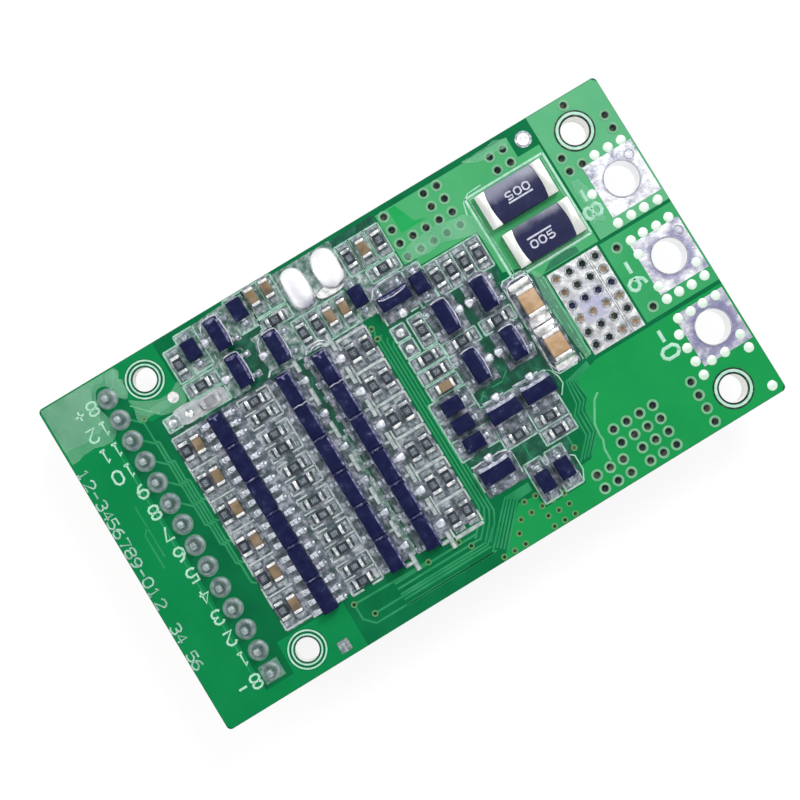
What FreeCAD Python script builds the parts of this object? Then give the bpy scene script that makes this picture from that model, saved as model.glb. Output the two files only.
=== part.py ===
import FreeCAD, Part
import math
import os
import Sketcher

# Battery management board: a green circuit board with a right-angle balance socket under its left end,
# power transistors under its right half, and monitoring, balancing and sensing parts on its top face.
# Millimetres. X runs from the socket end to the power-pad end, Z points up out of the component side,
# and the origin lies on the resting plane under the middle of the board.

SIZES = {
    # Board blank
    "board_length": 53.8,
    "board_width": 30.5,
    "board_thickness": 1.6,
    "board_corner_radius": 0.4,
    # Board that the places of the parts below are given for; on another board they keep their share
    "layout_length": 53.8,
    "layout_width": 30.5,
    # Screw holes, measured in from the board's edges
    "left_screw_hole_radius": 1.1,
    "right_screw_hole_radius": 1.2,
    "left_screw_inset": 8.85,
    "right_screw_inset": 3.8,
    "screw_side_inset": 2.33,
    "far_screw_side_inset": 3.07,
    # Plated power holes and their square lands
    "power_hole_radius": 1.5,
    "power_barrel_wall": 0.2,
    "power_land_length": 4.7,
    "power_land_width": 4.9,
    "power_land_thickness": 0.07,
    "power_hole_inset": 2.55,
    "battery_hole_y": 6.75,
    "load_hole_y": -0.78,
    "charger_hole_y": -7.7,
    # Open vias on a common pitch
    "via_radius": 0.33,
    "via_pitch": 1.27,
    # Bare tinned copper field that carries heat and current down to the transistors
    "heat_field_x": 17.18,
    "heat_field_y": -0.78,
    "heat_field_length": 4.9,
    "heat_field_width": 7.7,
    "heat_field_thickness": 0.05,
    # Balance socket under the left end
    "pin_pitch": 2.0,
    "pin_side": 0.5,
    "pin_hole_radius": 0.42,
    "pin_row_inset": 5.42,
    "pin_row_shift": 0.12,
    "pin_tip_height": 1.15,
    "pin_tip_chamfer": 0.14,
    "pin_level": 2.4,
    "pin_recess": 1.3,
    "socket_height": 4.8,
    "socket_depth": 5.1,
    "socket_wall": 0.7,
    "socket_end_wall": 0.8,
    "socket_end_margin": 1.95,
    "socket_back_wall": 0.8,
    "socket_cheek_reach": 1.4,
    "socket_notch_width": 2.2,
    "socket_notch_depth": 1.6,
    "joint_foot_radius": 0.8,
    "joint_neck_radius": 0.36,
    "joint_height": 0.8,
    # Sensing resistors, 2512 size
    "shunt_length": 6.35,
    "shunt_width": 3.2,
    "shunt_height": 0.7,
    "shunt_body_length": 4.7,
    "shunt_end_radius": 7.0,
    # Small three-lead and six-lead packages
    "package_length": 2.9,
    "package_width": 1.35,
    "package_top": 1.1,
    "package_standoff": 0.1,
    "package_draft": 7.0,
    "package_seam_level": 0.5,
    "lead_thickness": 0.15,
    "lead_width": 0.42,
    "lead_pitch": 0.95,
    "lead_span": 2.5,
    "six_lead_span": 2.75,
    "lead_foot": 0.32,
    "lead_lean": 0.04,
    # Two-lead diodes
    "diode_length": 1.75,
    "diode_width": 1.3,
    "diode_top": 0.95,
    "diode_span": 2.6,
    "diode_foot": 0.2,
    # Chip resistors and capacitors, 0603 size
    "chip_length": 1.6,
    "chip_width": 0.8,
    "chip_end": 0.3,
    "resistor_height": 0.45,
    "capacitor_height": 0.75,
    "chip_end_proud": 0.02,
    # Large supply capacitors and their solder
    "bulk_length": 2.4,
    "bulk_width": 1.6,
    "bulk_height": 1.25,
    "bulk_end": 0.35,
    "bulk_solder_reach": 0.82,
    "bulk_solder_width": 1.9,
    "bulk_solder_foot": 0.15,
    # Solder mounds on the two wire lands
    "mound_length": 3.5,
    "mound_width": 2.2,
    "mound_height": 0.9,
    "mound_shoulder": 0.55,
    "mound_foot_draft": 22.0,
    "mound_crown_draft": 55.0,
    # Power transistors under the board
    "power_body_width": 6.6,
    "power_body_length": 6.1,
    "power_body_height": 2.3,
    "power_body_draft": 5.0,
    "power_tab_width": 5.4,
    "power_tab_reach": 1.1,
    "power_tab_seat": 4.4,
    "power_tab_thickness": 0.5,
    "power_lead_width": 0.76,
    "power_lead_spacing": 4.57,
    "power_lead_level": 1.1,
    "power_lead_reach": 2.7,
    "power_lead_foot": 1.3,
    "power_near_x": 8.3,
    "power_pitch": 8.25,
    "power_body_inner_y": 6.1,
    # Six cell channels: spacing along Y and the X of each column
    "cell_pitch": 3.16,
    "cell_first_y": 6.0,
    "filter_pitch": 3.04,
    "filter_first_y": 6.05,
    "filter_resistor_x": -18.1,
    "filter_capacitor_x": -16.95,
    "monitor_x": -14.66,
    "gate_resistor_x": -11.25,
    "gate_resistor_half_gap": 0.67,
    "balance_x": -8.22,
    "shift_x": -4.78,
    "bleed_near_x": -2.27,
    "bleed_far_x": -0.97,
    "bleed_first_y": 5.85,
}

CELLS = 6
PINS = 14
DRILL_SIDES = 6
JOINT_SIDES = 12

# Free-standing parts of the control circuit: x, y and quarter turns. A transistor's single lead points
# along +X at no turns; a diode or chip lies along X at no turns and along Y at one.
CONTROL_TRANSISTORS = {
    "supply_switch": (-10.95, 12.9, 2),
    "supply_driver": (-11.0, 9.45, 2),
    "supply_buffer": (-7.37, 9.5, 2),
    "temperature_switch": (2.95, 7.95, 3),
    "upper_left_gate": (5.75, 4.45, 0),
    "upper_right_gate": (9.42, 4.45, 2),
    "lower_left_gate": (5.75, -0.28, 0),
    "lower_right_gate": (9.38, -0.28, 2),
    "charge_gate": (5.88, -4.7, 1),
    "discharge_gate": (9.14, -4.7, 1),
    "release_gate": (2.75, -8.62, 1),
}
DIODES = {
    "input_clamp": (-13.48, 12.95, 1),
    "supply_clamp": (-8.55, 13.85, 1),
    "wire_clamp": (0.47, 9.65, 1),
    "switch_clamp": (5.37, 7.95, 1),
    "upper_steer": (2.4, -2.1, 0),
    "middle_steer": (2.4, -3.8, 0),
    "lower_steer": (2.4, -5.58, 0),
    "charge_clamp": (5.75, -11.3, 1),
    "load_clamp": (7.65, -11.2, 1),
}
CONTROL_RESISTORS = {
    "input_drop": (-15.0, 12.45, 1),
    "input_bias": (-14.28, 10.05, 0),
    "input_sense": (-14.3, 8.6, 0),
    "supply_drop": (-6.35, 11.55, 0),
    "supply_bias": (-4.9, 9.4, 1),
    "supply_load": (-3.58, 9.4, 1),
    "wire_drop": (1.5, 12.75, 1),
    "wire_bias": (4.37, 12.8, 1),
    "wire_sense": (3.5, 10.63, 0),
    "delay_first": (6.93, 7.57, 1),
    "delay_second": (8.22, 7.57, 1),
    "delay_third": (9.52, 7.57, 1),
    "delay_fourth": (10.85, 7.57, 1),
    "upper_bias": (3.57, 4.55, 1),
    "upper_drop": (2.78, 2.35, 0),
    "lower_drop": (2.78, 1.0, 0),
    "left_gate_drop": (5.93, 2.07, 0),
    "right_gate_drop": (9.33, 2.07, 0),
    "charge_bias": (5.87, -6.93, 0),
    "discharge_bias": (8.88, -6.93, 0),
    "discharge_drop": (8.88, -8.3, 0),
}
CONTROL_CAPACITORS = {
    "supply_first": (-6.98, 14.1, 1),
    "supply_second": (-5.6, 14.1, 1),
    "wire_first": (-2.32, 9.42, 1),
    "wire_second": (-0.98, 9.42, 1),
    "wire_third": (2.9, 12.82, 1),
    "lower_filter": (2.78, -0.38, 0),
}
BULK_CAPACITORS = {
    "upper_bulk": (12.35, 1.92, 1),
    "lower_bulk": (12.35, -2.22, 1),
}
SHUNTS = {
    "upper_shunt": (16.02, 10.1, 0),
    "lower_shunt": (16.35, 6.2, 0),
}
WIRE_MOUNDS = {
    "left_mound": (-3.5, 12.95, 0),
    "right_mound": (-0.35, 13.02, 0),
}

# Each block of vias: x and y of its lower left via, columns and rows on the via pitch
VIA_BLOCKS = {
    "upper_row": (5.75, 10.4, 5, 2),
    "upper_stack": (5.75, 12.97, 1, 2),
    "upper_pair": (9.58, 12.95, 2, 2),
    "upper_right": (15.87, 12.7, 2, 2),
    "lower_row": (12.82, -11.9, 4, 2),
    "lower_right": (14.09, -14.42, 3, 2),
    "lower_left": (9.68, -14.42, 3, 2),
    "charger_column": (20.35, -14.45, 1, 4),
    "battery_column": (20.95, 9.5, 1, 2),
    "battery_single": (22.2, 9.5, 1, 1),
    "edge_single": (23.4, 14.5, 1, 1),
    "edge_column": (25.95, 10.75, 1, 2),
    "load_upper": (20.95, 2.03, 1, 1),
    "load_lower": (20.98, -3.68, 1, 1),
}
FIELD_COLUMNS = 4
FIELD_ROWS = 6

# Levels and places that several pieces share
UNDERSIDE = "Sizes.socket_height"
TOP = "(Sizes.socket_height + Sizes.board_thickness)"
LEFT_EDGE = "(-Sizes.board_length / 2)"
RIGHT_EDGE = "(Sizes.board_length / 2)"
PIN_X = f"({LEFT_EDGE} + Sizes.pin_row_inset)"
PIN_FIRST_Y = f"(Sizes.pin_row_shift - {(PINS - 1) / 2} * Sizes.pin_pitch)"
SOCKET_LENGTH = f"({PINS - 1} * Sizes.pin_pitch + 2 * Sizes.socket_end_margin)"
SOCKET_BACK = f"({LEFT_EDGE} + Sizes.socket_depth)"
POWER_HOLES = {
    "battery_negative_pad": "Sizes.battery_hole_y",
    "load_negative_pad": "Sizes.load_hole_y",
    "charger_negative_pad": "Sizes.charger_hole_y",
}
POWER_HOLE_X = f"({RIGHT_EDGE} - Sizes.power_hole_inset)"
BARREL_RADIUS = "(Sizes.power_hole_radius + Sizes.power_barrel_wall)"

doc = FreeCAD.newDocument("battery_management_board")
nodes = []


def fill_sheet():
    """Put every driving size and every placing into the sheet, each cell with a word for its alias."""
    sheet = doc.addObject("Spreadsheet::Sheet", "Sizes")
    values = dict(SIZES)
    placed = (CONTROL_TRANSISTORS, DIODES, CONTROL_RESISTORS, CONTROL_CAPACITORS, BULK_CAPACITORS,
              SHUNTS, WIRE_MOUNDS, VIA_BLOCKS)
    for group in placed:
        for name, place in group.items():
            values[f"{name}_x"] = place[0]
            values[f"{name}_y"] = place[1]
    for row, (alias, value) in enumerate(values.items(), start=1):
        sheet.set(f"A{row}", alias)
        sheet.set(f"B{row}", str(value))
        sheet.setAlias(f"B{row}", alias)
    doc.recompute()
    return sheet


sheet = fill_sheet()


def value(expression):
    """Number that an expression gives with the sheet as it stands."""
    return float(sheet.evalExpression(expression))


def new_body(label):
    body = doc.addObject("PartDesign::Body", label)
    body.AllowCompound = True
    return body


def new_sketch(body, name, plane="XY_Plane", offset="0"):
    """Empty sketch on one of the body's origin planes, moved along the plane's normal by an expression."""
    sketch = body.newObject("Sketcher::SketchObject", name)
    origin_plane = next(item for item in body.Origin.OriginFeatures if item.Role == plane)
    sketch.AttachmentSupport = (origin_plane, [""])
    sketch.MapMode = "FlatFace"
    sketch.setExpression("AttachmentOffset.Base.z", offset)
    return sketch


def bind(sketch, bindings):
    """Add driving constraints in one go and tie each to its expression.

    Each binding is a name, an expression and the constraint's arguments ahead of its value.
    """
    constraints = []
    for name, expression, arguments in bindings:
        constraint = Sketcher.Constraint(*arguments, value(expression))
        constraint.Name = name
        constraints.append(constraint)
    sketch.addConstraint(constraints)
    for name, expression, _ in bindings:
        sketch.setExpression(f"Constraints.{name}", expression)


def point_bindings(geometry, vertex, x, y):
    """Two distances that hold a vertex away from the sketch origin."""
    return [(f"x_{geometry}", x, ("DistanceX", -1, 1, geometry, vertex)),
            (f"y_{geometry}", y, ("DistanceY", -1, 1, geometry, vertex))]


def draw_outline(sketch, corners):
    """Closed outline of straight sides through corners given as pairs of expressions."""
    points = [FreeCAD.Vector(value(x), value(y), 0) for x, y in corners]
    following = points[1:] + points[:1]
    first = sketch.GeometryCount
    last = first + len(points) - 1
    sketch.addGeometry([Part.LineSegment(*ends) for ends in zip(points, following)], False)
    joins = [Sketcher.Constraint("Coincident", last, 2, first, 1)]
    for index in range(first, last):
        joins.append(Sketcher.Constraint("Coincident", index, 2, index + 1, 1))
    sketch.addConstraint(joins)
    bindings = []
    for index, (x, y) in enumerate(corners, start=first):
        bindings += point_bindings(index, 1, x, y)
    bind(sketch, bindings)


def draw_rectangle(sketch, x, y, length, width):
    """Rectangle centred on x, y; all four are expressions."""
    low_x, high_x = f"{x} - {length} / 2", f"{x} + {length} / 2"
    low_y, high_y = f"{y} - {width} / 2", f"{y} + {width} / 2"
    draw_outline(sketch, ((low_x, low_y), (high_x, low_y), (high_x, high_y), (low_x, high_y)))


def draw_circles(sketch, radius, places):
    """Circles of one radius about centres given as pairs of expressions."""
    bindings = []
    for x, y in places:
        centre = FreeCAD.Vector(value(x), value(y), 0)
        circle = sketch.addGeometry(Part.Circle(centre, FreeCAD.Vector(0, 0, 1), value(radius)), False)
        bindings += point_bindings(circle, 3, x, y)
        bindings.append((f"radius_{circle}", radius, ("Radius", circle)))
    bind(sketch, bindings)


def draw_oval(sketch, length, width):
    """Oval about the origin, long in Y, with a half circle at each end."""
    radius = value(width) / 2
    reach = value(length) / 2 - radius
    upper = Part.Circle(FreeCAD.Vector(0, reach, 0), FreeCAD.Vector(0, 0, 1), radius)
    lower = Part.Circle(FreeCAD.Vector(0, -reach, 0), FreeCAD.Vector(0, 0, 1), radius)
    sketch.addGeometry([
        Part.ArcOfCircle(upper, 0, math.pi),
        Part.LineSegment(FreeCAD.Vector(-radius, reach, 0), FreeCAD.Vector(-radius, -reach, 0)),
        Part.ArcOfCircle(lower, math.pi, 2 * math.pi),
        Part.LineSegment(FreeCAD.Vector(radius, -reach, 0), FreeCAD.Vector(radius, reach, 0)),
    ], False)
    sketch.addConstraint([
        Sketcher.Constraint("Tangent", 0, 2, 1, 1),
        Sketcher.Constraint("Tangent", 1, 2, 2, 1),
        Sketcher.Constraint("Tangent", 2, 2, 3, 1),
        Sketcher.Constraint("Tangent", 3, 2, 0, 1),
        Sketcher.Constraint("Vertical", 1),
        Sketcher.Constraint("Symmetric", 0, 3, 2, 3, -1, 1),
    ])
    bind(sketch, [("half_width", f"({width}) / 2", ("Radius", 0)),
                  ("reach", f"(({length}) - ({width})) / 2", ("DistanceY", -1, 1, 0, 3))])


def pad(body, sketch, height, down=False, symmetric=False, draft=None):
    """Extrude a sketch by an expression, up from its plane unless told otherwise."""
    feature = body.newObject("PartDesign::Pad", sketch.Name + "_pad")
    feature.Profile = sketch
    feature.Reversed = down
    feature.SideType = "Symmetric" if symmetric else "One side"
    feature.setExpression("Length", height)
    if draft:
        feature.setExpression("TaperAngle", draft)
    return feature


def pocket(body, sketch, depth):
    """Cut a sketch upwards from its plane, which lies at the bottom of the cut."""
    feature = body.newObject("PartDesign::Pocket", sketch.Name + "_pocket")
    feature.Profile = sketch
    feature.Reversed = True
    feature.setExpression("Length", depth)
    return feature


def place(item, x="0", y="0", z="0", turns=0):
    """Turn an object about Z by quarter turns and bind its place to three expressions."""
    turn = FreeCAD.Rotation(FreeCAD.Vector(0, 0, 1), 90 * turns)
    item.Placement = FreeCAD.Placement(FreeCAD.Vector(0, 0, 0), turn)
    for axis, expression in (("x", x), ("y", y), ("z", z)):
        item.setExpression(f"Placement.Base.{axis}", expression)


def box(name, x, y, z, length, width, height):
    """Box centred on x, y and standing on z; every argument after the name is an expression."""
    item = doc.addObject("Part::Box", name)
    item.setExpression("Length", length)
    item.setExpression("Width", width)
    item.setExpression("Height", height)
    place(item, f"{x} - {length} / 2", f"{y} - {width} / 2", z)
    return item


def cut(label, base, tool):
    result = doc.addObject("Part::Cut", label)
    result.Base = base
    result.Tool = tool
    return result


def group(label, *items):
    compound = doc.addObject("Part::Compound", label)
    compound.Links = list(items)
    return compound


def copies(label, prototype, places, level=TOP):
    """Placed copies of one prototype as a single compound.

    Each place is an x and a y expression and a number of quarter turns.
    """
    links = []
    for index, (x, y, turns) in enumerate(places):
        link = doc.addObject("App::Link", f"{label}_{index}")
        link.LinkedObject = prototype
        link.LinkTransform = True
        place(link, x, y, level, turns)
        links.append(link)
    return group(label, *links)


def add_copies(label, prototype, places, level=TOP):
    """Node made of placed copies of one prototype."""
    nodes.append(copies(label, prototype, places, level))


def along(alias):
    """X that keeps its share of the board's length."""
    return f"Sizes.{alias} * Sizes.board_length / Sizes.layout_length"


def across(alias):
    """Y that keeps its share of the board's width."""
    return f"Sizes.{alias} * Sizes.board_width / Sizes.layout_width"


def sheet_places(table):
    """Places of a table's parts, as expressions that read the sheet."""
    return [(along(f"{name}_x"), f"Sizes.{name}_y", entry[2]) for name, entry in table.items()]


def cell_places(column, first="Sizes.cell_first_y", pitch="Sizes.cell_pitch", shift="0", turns=0):
    """One place in each cell channel, down a column whose X has the given alias."""
    return [(along(column), f"{first} - {cell} * {pitch} + {shift}", turns) for cell in range(CELLS)]


# Board and plated copper


def board_blank():
    """Rectangular blank with rounded corners, its screw holes and its power holes."""
    body = new_body("board_blank")
    outline = new_sketch(body, "board_outline", offset=UNDERSIDE)
    draw_rectangle(outline, "0", "0", "Sizes.board_length", "Sizes.board_width")
    slab = pad(body, outline, "Sizes.board_thickness")
    doc.recompute()
    upright = []
    for index, edge in enumerate(slab.Shape.Edges, start=1):
        if abs(edge.tangentAt(edge.FirstParameter).z) > 0.99:
            upright.append(f"Edge{index}")
    corners = body.newObject("PartDesign::Fillet", "board_corners")
    corners.Base = (slab, upright)
    corners.setExpression("Radius", "Sizes.board_corner_radius")
    holes = new_sketch(body, "screw_and_power_holes", offset=UNDERSIDE)
    left_screws, right_screws = screw_places()
    draw_circles(holes, "Sizes.left_screw_hole_radius", left_screws)
    draw_circles(holes, "Sizes.right_screw_hole_radius", right_screws)
    draw_circles(holes, BARREL_RADIUS, [(POWER_HOLE_X, y) for y in POWER_HOLES.values()])
    pocket(body, holes, "Sizes.board_thickness")
    return body


def screw_places():
    """Centres of the left pair of screw holes and of the right pair."""
    left = f"{LEFT_EDGE} + Sizes.left_screw_inset"
    right = f"{RIGHT_EDGE} - Sizes.right_screw_inset"
    low = "-Sizes.board_width / 2 + Sizes.screw_side_inset"
    high = "Sizes.board_width / 2 - Sizes.screw_side_inset"
    far = "Sizes.board_width / 2 - Sizes.far_screw_side_inset"
    return ((left, low), (left, high)), ((right, low), (right, far))


def pin_rows():
    """Y of every socket pin, from the lowest up."""
    return [f"({PIN_FIRST_Y} + {pin} * Sizes.pin_pitch)" for pin in range(PINS)]


def via_places():
    """Every open via outside the tinned heat field, block by block."""
    for name, (_, _, columns, rows) in VIA_BLOCKS.items():
        for column in range(columns):
            for row in range(rows):
                yield (f"{along(f'{name}_x')} + {column} * Sizes.via_pitch",
                       f"{across(f'{name}_y')} + {row} * Sizes.via_pitch", 0)


def field_places():
    """Every via in the tinned heat field."""
    for column in range(FIELD_COLUMNS):
        for row in range(FIELD_ROWS):
            yield (f"{along('heat_field_x')} + {column - (FIELD_COLUMNS - 1) / 2} * Sizes.via_pitch",
                   f"Sizes.heat_field_y + {row - (FIELD_ROWS - 1) / 2} * Sizes.via_pitch", 0)


def drill(name, radius):
    """Cutter for small holes, long enough for the board and any copper on it, with few sides."""
    cutter = doc.addObject("Part::Prism", name)
    cutter.Polygon = DRILL_SIDES
    cutter.setExpression("Circumradius", radius)
    cutter.setExpression("Height", "Sizes.board_thickness + Sizes.heat_field_thickness")
    return cutter


def circuit_board(field_vias):
    """Blank drilled for the socket pins and for all open vias."""
    vias = copies("vias", drill("via_drill", "Sizes.via_radius"), via_places(), UNDERSIDE)
    pins = copies("pin_holes", drill("pin_drill", "Sizes.pin_hole_radius"),
                  [(PIN_X, y, 0) for y in pin_rows()], UNDERSIDE)
    nodes.append(cut("circuit_board", board_blank(), group("small_holes", vias, field_vias, pins)))


def heat_field(field_vias):
    """Bare tinned copper on the top face, open at each of its vias."""
    plate = box("heat_field_plate", along("heat_field_x"), "Sizes.heat_field_y", TOP,
                "Sizes.heat_field_length", "Sizes.heat_field_width", "Sizes.heat_field_thickness")
    nodes.append(cut("heat_field", plate, field_vias))


def power_pad(label, hole_y):
    """Square land on each face of the board, joined by the plated barrel of a power hole."""
    body = new_body(label)
    land = ("Sizes.power_land_length", "Sizes.power_land_width")
    lower = new_sketch(body, label + "_lower_land", offset=UNDERSIDE)
    draw_rectangle(lower, POWER_HOLE_X, hole_y, *land)
    pad(body, lower, "Sizes.power_land_thickness", down=True)
    barrel = new_sketch(body, label + "_barrel", offset=UNDERSIDE)
    draw_circles(barrel, BARREL_RADIUS, [(POWER_HOLE_X, hole_y)])
    pad(body, barrel, "Sizes.board_thickness")
    upper = new_sketch(body, label + "_upper_land", offset=TOP)
    draw_rectangle(upper, POWER_HOLE_X, hole_y, *land)
    pad(body, upper, "Sizes.power_land_thickness")
    hole = new_sketch(body, label + "_hole", offset=f"{UNDERSIDE} - Sizes.power_land_thickness")
    draw_circles(hole, "Sizes.power_hole_radius", [(POWER_HOLE_X, hole_y)])
    pocket(body, hole, "Sizes.board_thickness + 2 * Sizes.power_land_thickness")
    nodes.append(body)


# Balance socket


def socket_housing():
    """Right-angle shroud open at the board's edge, its back wall gripping each pin ahead of the bend."""
    body = new_body("socket_housing")
    shell = new_sketch(body, "socket_shell")
    draw_rectangle(shell, f"({LEFT_EDGE} + Sizes.socket_depth / 2)", "Sizes.pin_row_shift",
                   "Sizes.socket_depth", SOCKET_LENGTH)
    pad(body, shell, "Sizes.socket_height")
    cheeks = new_sketch(body, "socket_cheeks")
    for side in (-1, 1):
        draw_rectangle(cheeks, f"({SOCKET_BACK} + Sizes.socket_cheek_reach / 2)",
                       f"(Sizes.pin_row_shift + {side} * ({SOCKET_LENGTH} - Sizes.socket_end_wall) / 2)",
                       "Sizes.socket_cheek_reach", "Sizes.socket_end_wall")
    pad(body, cheeks, "Sizes.socket_height")
    mouth_depth = "(Sizes.socket_depth - Sizes.socket_back_wall)"
    mouth = new_sketch(body, "socket_mouth", offset="Sizes.socket_wall")
    draw_rectangle(mouth, f"({LEFT_EDGE} + {mouth_depth} / 2)", "Sizes.pin_row_shift",
                   mouth_depth, f"({SOCKET_LENGTH} - 2 * Sizes.socket_end_wall)")
    pocket(body, mouth, "Sizes.socket_height - 2 * Sizes.socket_wall")
    notches = new_sketch(body, "socket_notches")
    for side in (-1, 1):
        draw_rectangle(notches, f"({LEFT_EDGE} + Sizes.socket_notch_depth / 2)",
                       f"(Sizes.pin_row_shift + {side} * {SOCKET_LENGTH} / 4)",
                       "Sizes.socket_notch_depth", "Sizes.socket_notch_width")
    pocket(body, notches, "Sizes.socket_wall")
    pin_slots = new_sketch(body, "pin_slots", plane="YZ_Plane", offset=f"{LEFT_EDGE} + {mouth_depth}")
    for y in pin_rows():
        draw_rectangle(pin_slots, y, "Sizes.pin_level", "Sizes.pin_side", "Sizes.pin_side")
    pocket(body, pin_slots, "Sizes.socket_back_wall")
    nodes.append(body)


def socket_pin():
    """Square pin bent up through the board, with both of its tips chamfered."""
    body = new_body("socket_pin")
    half = "Sizes.pin_side / 2"
    chamfer = "Sizes.pin_tip_chamfer"
    tip_x = f"{LEFT_EDGE} + Sizes.pin_recess"
    tip_z = f"{TOP} + Sizes.pin_tip_height"
    low, high = f"Sizes.pin_level - {half}", f"Sizes.pin_level + {half}"
    near, far = f"{PIN_X} - {half}", f"{PIN_X} + {half}"
    side_view = new_sketch(body, "pin_side_view", plane="XZ_Plane")
    draw_outline(side_view, (
        (tip_x, f"{low} + {chamfer}"),
        (f"{tip_x} + {chamfer}", low),
        (f"{far} - {chamfer}", low),
        (far, f"{low} + {chamfer}"),
        (far, f"{tip_z} - {chamfer}"),
        (f"{far} - {chamfer}", tip_z),
        (f"{near} + {chamfer}", tip_z),
        (near, f"{tip_z} - {chamfer}"),
        (near, high),
        (f"{tip_x} + {chamfer}", high),
        (tip_x, f"{high} - {chamfer}"),
    ))
    pad(body, side_view, "Sizes.pin_side", symmetric=True)
    return body


def pin_joint():
    """Many-sided cone of solder round a pin's tail, standing on the top face."""
    body = new_body("pin_joint_cone")
    foot = new_sketch(body, "pin_joint_foot")
    turns = [360 / JOINT_SIDES * side for side in range(JOINT_SIDES)]
    draw_outline(foot, [(f"Sizes.joint_foot_radius * cos({turn} deg)",
                         f"Sizes.joint_foot_radius * sin({turn} deg)") for turn in turns])
    pad(body, foot, "Sizes.joint_height",
        draft="-atan((Sizes.joint_foot_radius - Sizes.joint_neck_radius) / Sizes.joint_height)")
    tail = box("pin_joint_tail", "0", "0", "0", "Sizes.pin_side", "Sizes.pin_side", "Sizes.joint_height")
    return cut("pin_joint", body, tail)


def balance_socket():
    socket_housing()
    add_copies("socket_pins", socket_pin(), [("0", y, 0) for y in pin_rows()], level="0")
    add_copies("pin_joints", pin_joint(), [(PIN_X, y, 0) for y in pin_rows()])


# Moulded packages with gull-wing leads


def moulded_package(label, length, width, top):
    """Package drafted both ways from the seam band where its leads come out."""
    body = new_body(label)
    seam = "(Sizes.package_seam_level - Sizes.lead_thickness / 2)"
    seam_top = "(Sizes.package_seam_level + Sizes.lead_thickness / 2)"
    band = new_sketch(body, label + "_band", offset=seam)
    draw_rectangle(band, "0", "0", width, length)
    pad(body, band, "Sizes.lead_thickness")
    below = new_sketch(body, label + "_below", offset=seam)
    draw_rectangle(below, "0", "0", width, length)
    pad(body, below, f"{seam} - Sizes.package_standoff", down=True, draft="-Sizes.package_draft")
    above = new_sketch(body, label + "_above", offset=seam_top)
    draw_rectangle(above, "0", "0", width, length)
    pad(body, above, f"{top} - {seam_top}", draft="-Sizes.package_draft")
    return body


def gull_wing(body, name, side, y, package_width, span, foot="Sizes.lead_foot"):
    """Lead that leaves the seam band, steps down and ends in a foot on the board."""
    root = f"{side} * {package_width} / 2"
    tip = f"{side} * {span} / 2"
    inward = f"{side} * {foot}"
    lean = f"{side} * Sizes.lead_lean"
    thick = f"{side} * Sizes.lead_thickness"
    seam = "Sizes.package_seam_level - Sizes.lead_thickness / 2"
    seam_top = "Sizes.package_seam_level + Sizes.lead_thickness / 2"
    profile = new_sketch(body, name, plane="XZ_Plane", offset=f"-({y})")
    draw_outline(profile, (
        (root, seam),
        (f"{tip} - {inward} - {lean} - {thick}", seam),
        (f"{tip} - {inward} - {thick}", "0"),
        (tip, "0"),
        (tip, "Sizes.lead_thickness"),
        (f"{tip} - {inward}", "Sizes.lead_thickness"),
        (f"{tip} - {inward} - {lean}", seam_top),
        (root, seam_top),
    ))
    pad(body, profile, "Sizes.lead_width", symmetric=True)


def three_leads():
    body = new_body("transistor_leads")
    gull_wing(body, "single_lead", 1, "0", "Sizes.package_width", "Sizes.lead_span")
    for side in (-1, 1):
        gull_wing(body, f"paired_lead_{side + 1}", -1, f"{side} * Sizes.lead_pitch",
                  "Sizes.package_width", "Sizes.lead_span")
    return body


def six_leads():
    body = new_body("monitor_leads")
    for side in (-1, 1):
        for step in (-1, 0, 1):
            gull_wing(body, f"monitor_lead_{side + 1}_{step + 1}", side, f"{step} * Sizes.lead_pitch",
                      "Sizes.package_width", "Sizes.six_lead_span")
    return body


def diode_package():
    return moulded_package("diode_package", "Sizes.diode_width", "Sizes.diode_length", "Sizes.diode_top")


def diode_lead_pair():
    body = new_body("diode_lead_pair")
    for side in (-1, 1):
        gull_wing(body, f"diode_lead_{side + 1}", side, "0", "Sizes.diode_length", "Sizes.diode_span",
                  "Sizes.diode_foot")
    return body


def packages():
    """Cell monitors, balance and level-shift transistors, control transistors and diodes."""
    package = moulded_package("small_package", "Sizes.package_length", "Sizes.package_width",
                              "Sizes.package_top")
    triple = three_leads()
    add_copies("cell_monitor_bodies", package, cell_places("monitor_x"))
    add_copies("cell_monitor_leads", six_leads(), cell_places("monitor_x"))
    add_copies("balance_transistor_bodies", package, cell_places("balance_x"))
    add_copies("balance_transistor_leads", triple, cell_places("balance_x"))
    add_copies("level_shift_transistor_bodies", package, cell_places("shift_x"))
    add_copies("level_shift_transistor_leads", triple, cell_places("shift_x"))
    add_copies("control_transistor_bodies", package, sheet_places(CONTROL_TRANSISTORS))
    add_copies("control_transistor_leads", triple, sheet_places(CONTROL_TRANSISTORS))
    add_copies("diode_bodies", diode_package(), sheet_places(DIODES))
    add_copies("diode_leads", diode_lead_pair(), sheet_places(DIODES))


# Chip resistors and capacitors


def chip_core(label, length, width, height, end):
    """Ceramic between the end caps, lying along X."""
    proud = "Sizes.chip_end_proud"
    return box(label, "0", "0", proud, f"({length} - 2 * {end})", f"({width} - 2 * {proud})",
               f"{height} - 2 * {proud}")


def chip_caps(label, length, width, height, end):
    """Pair of metal end caps, a little larger than the ceramic all round."""
    caps = []
    for side in (-1, 1):
        middle = f"{side} * ({length} - {end}) / 2"
        caps.append(box(f"{label}_{side + 1}", middle, "0", "0", end, width, height))
    return group(label, *caps)


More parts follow.
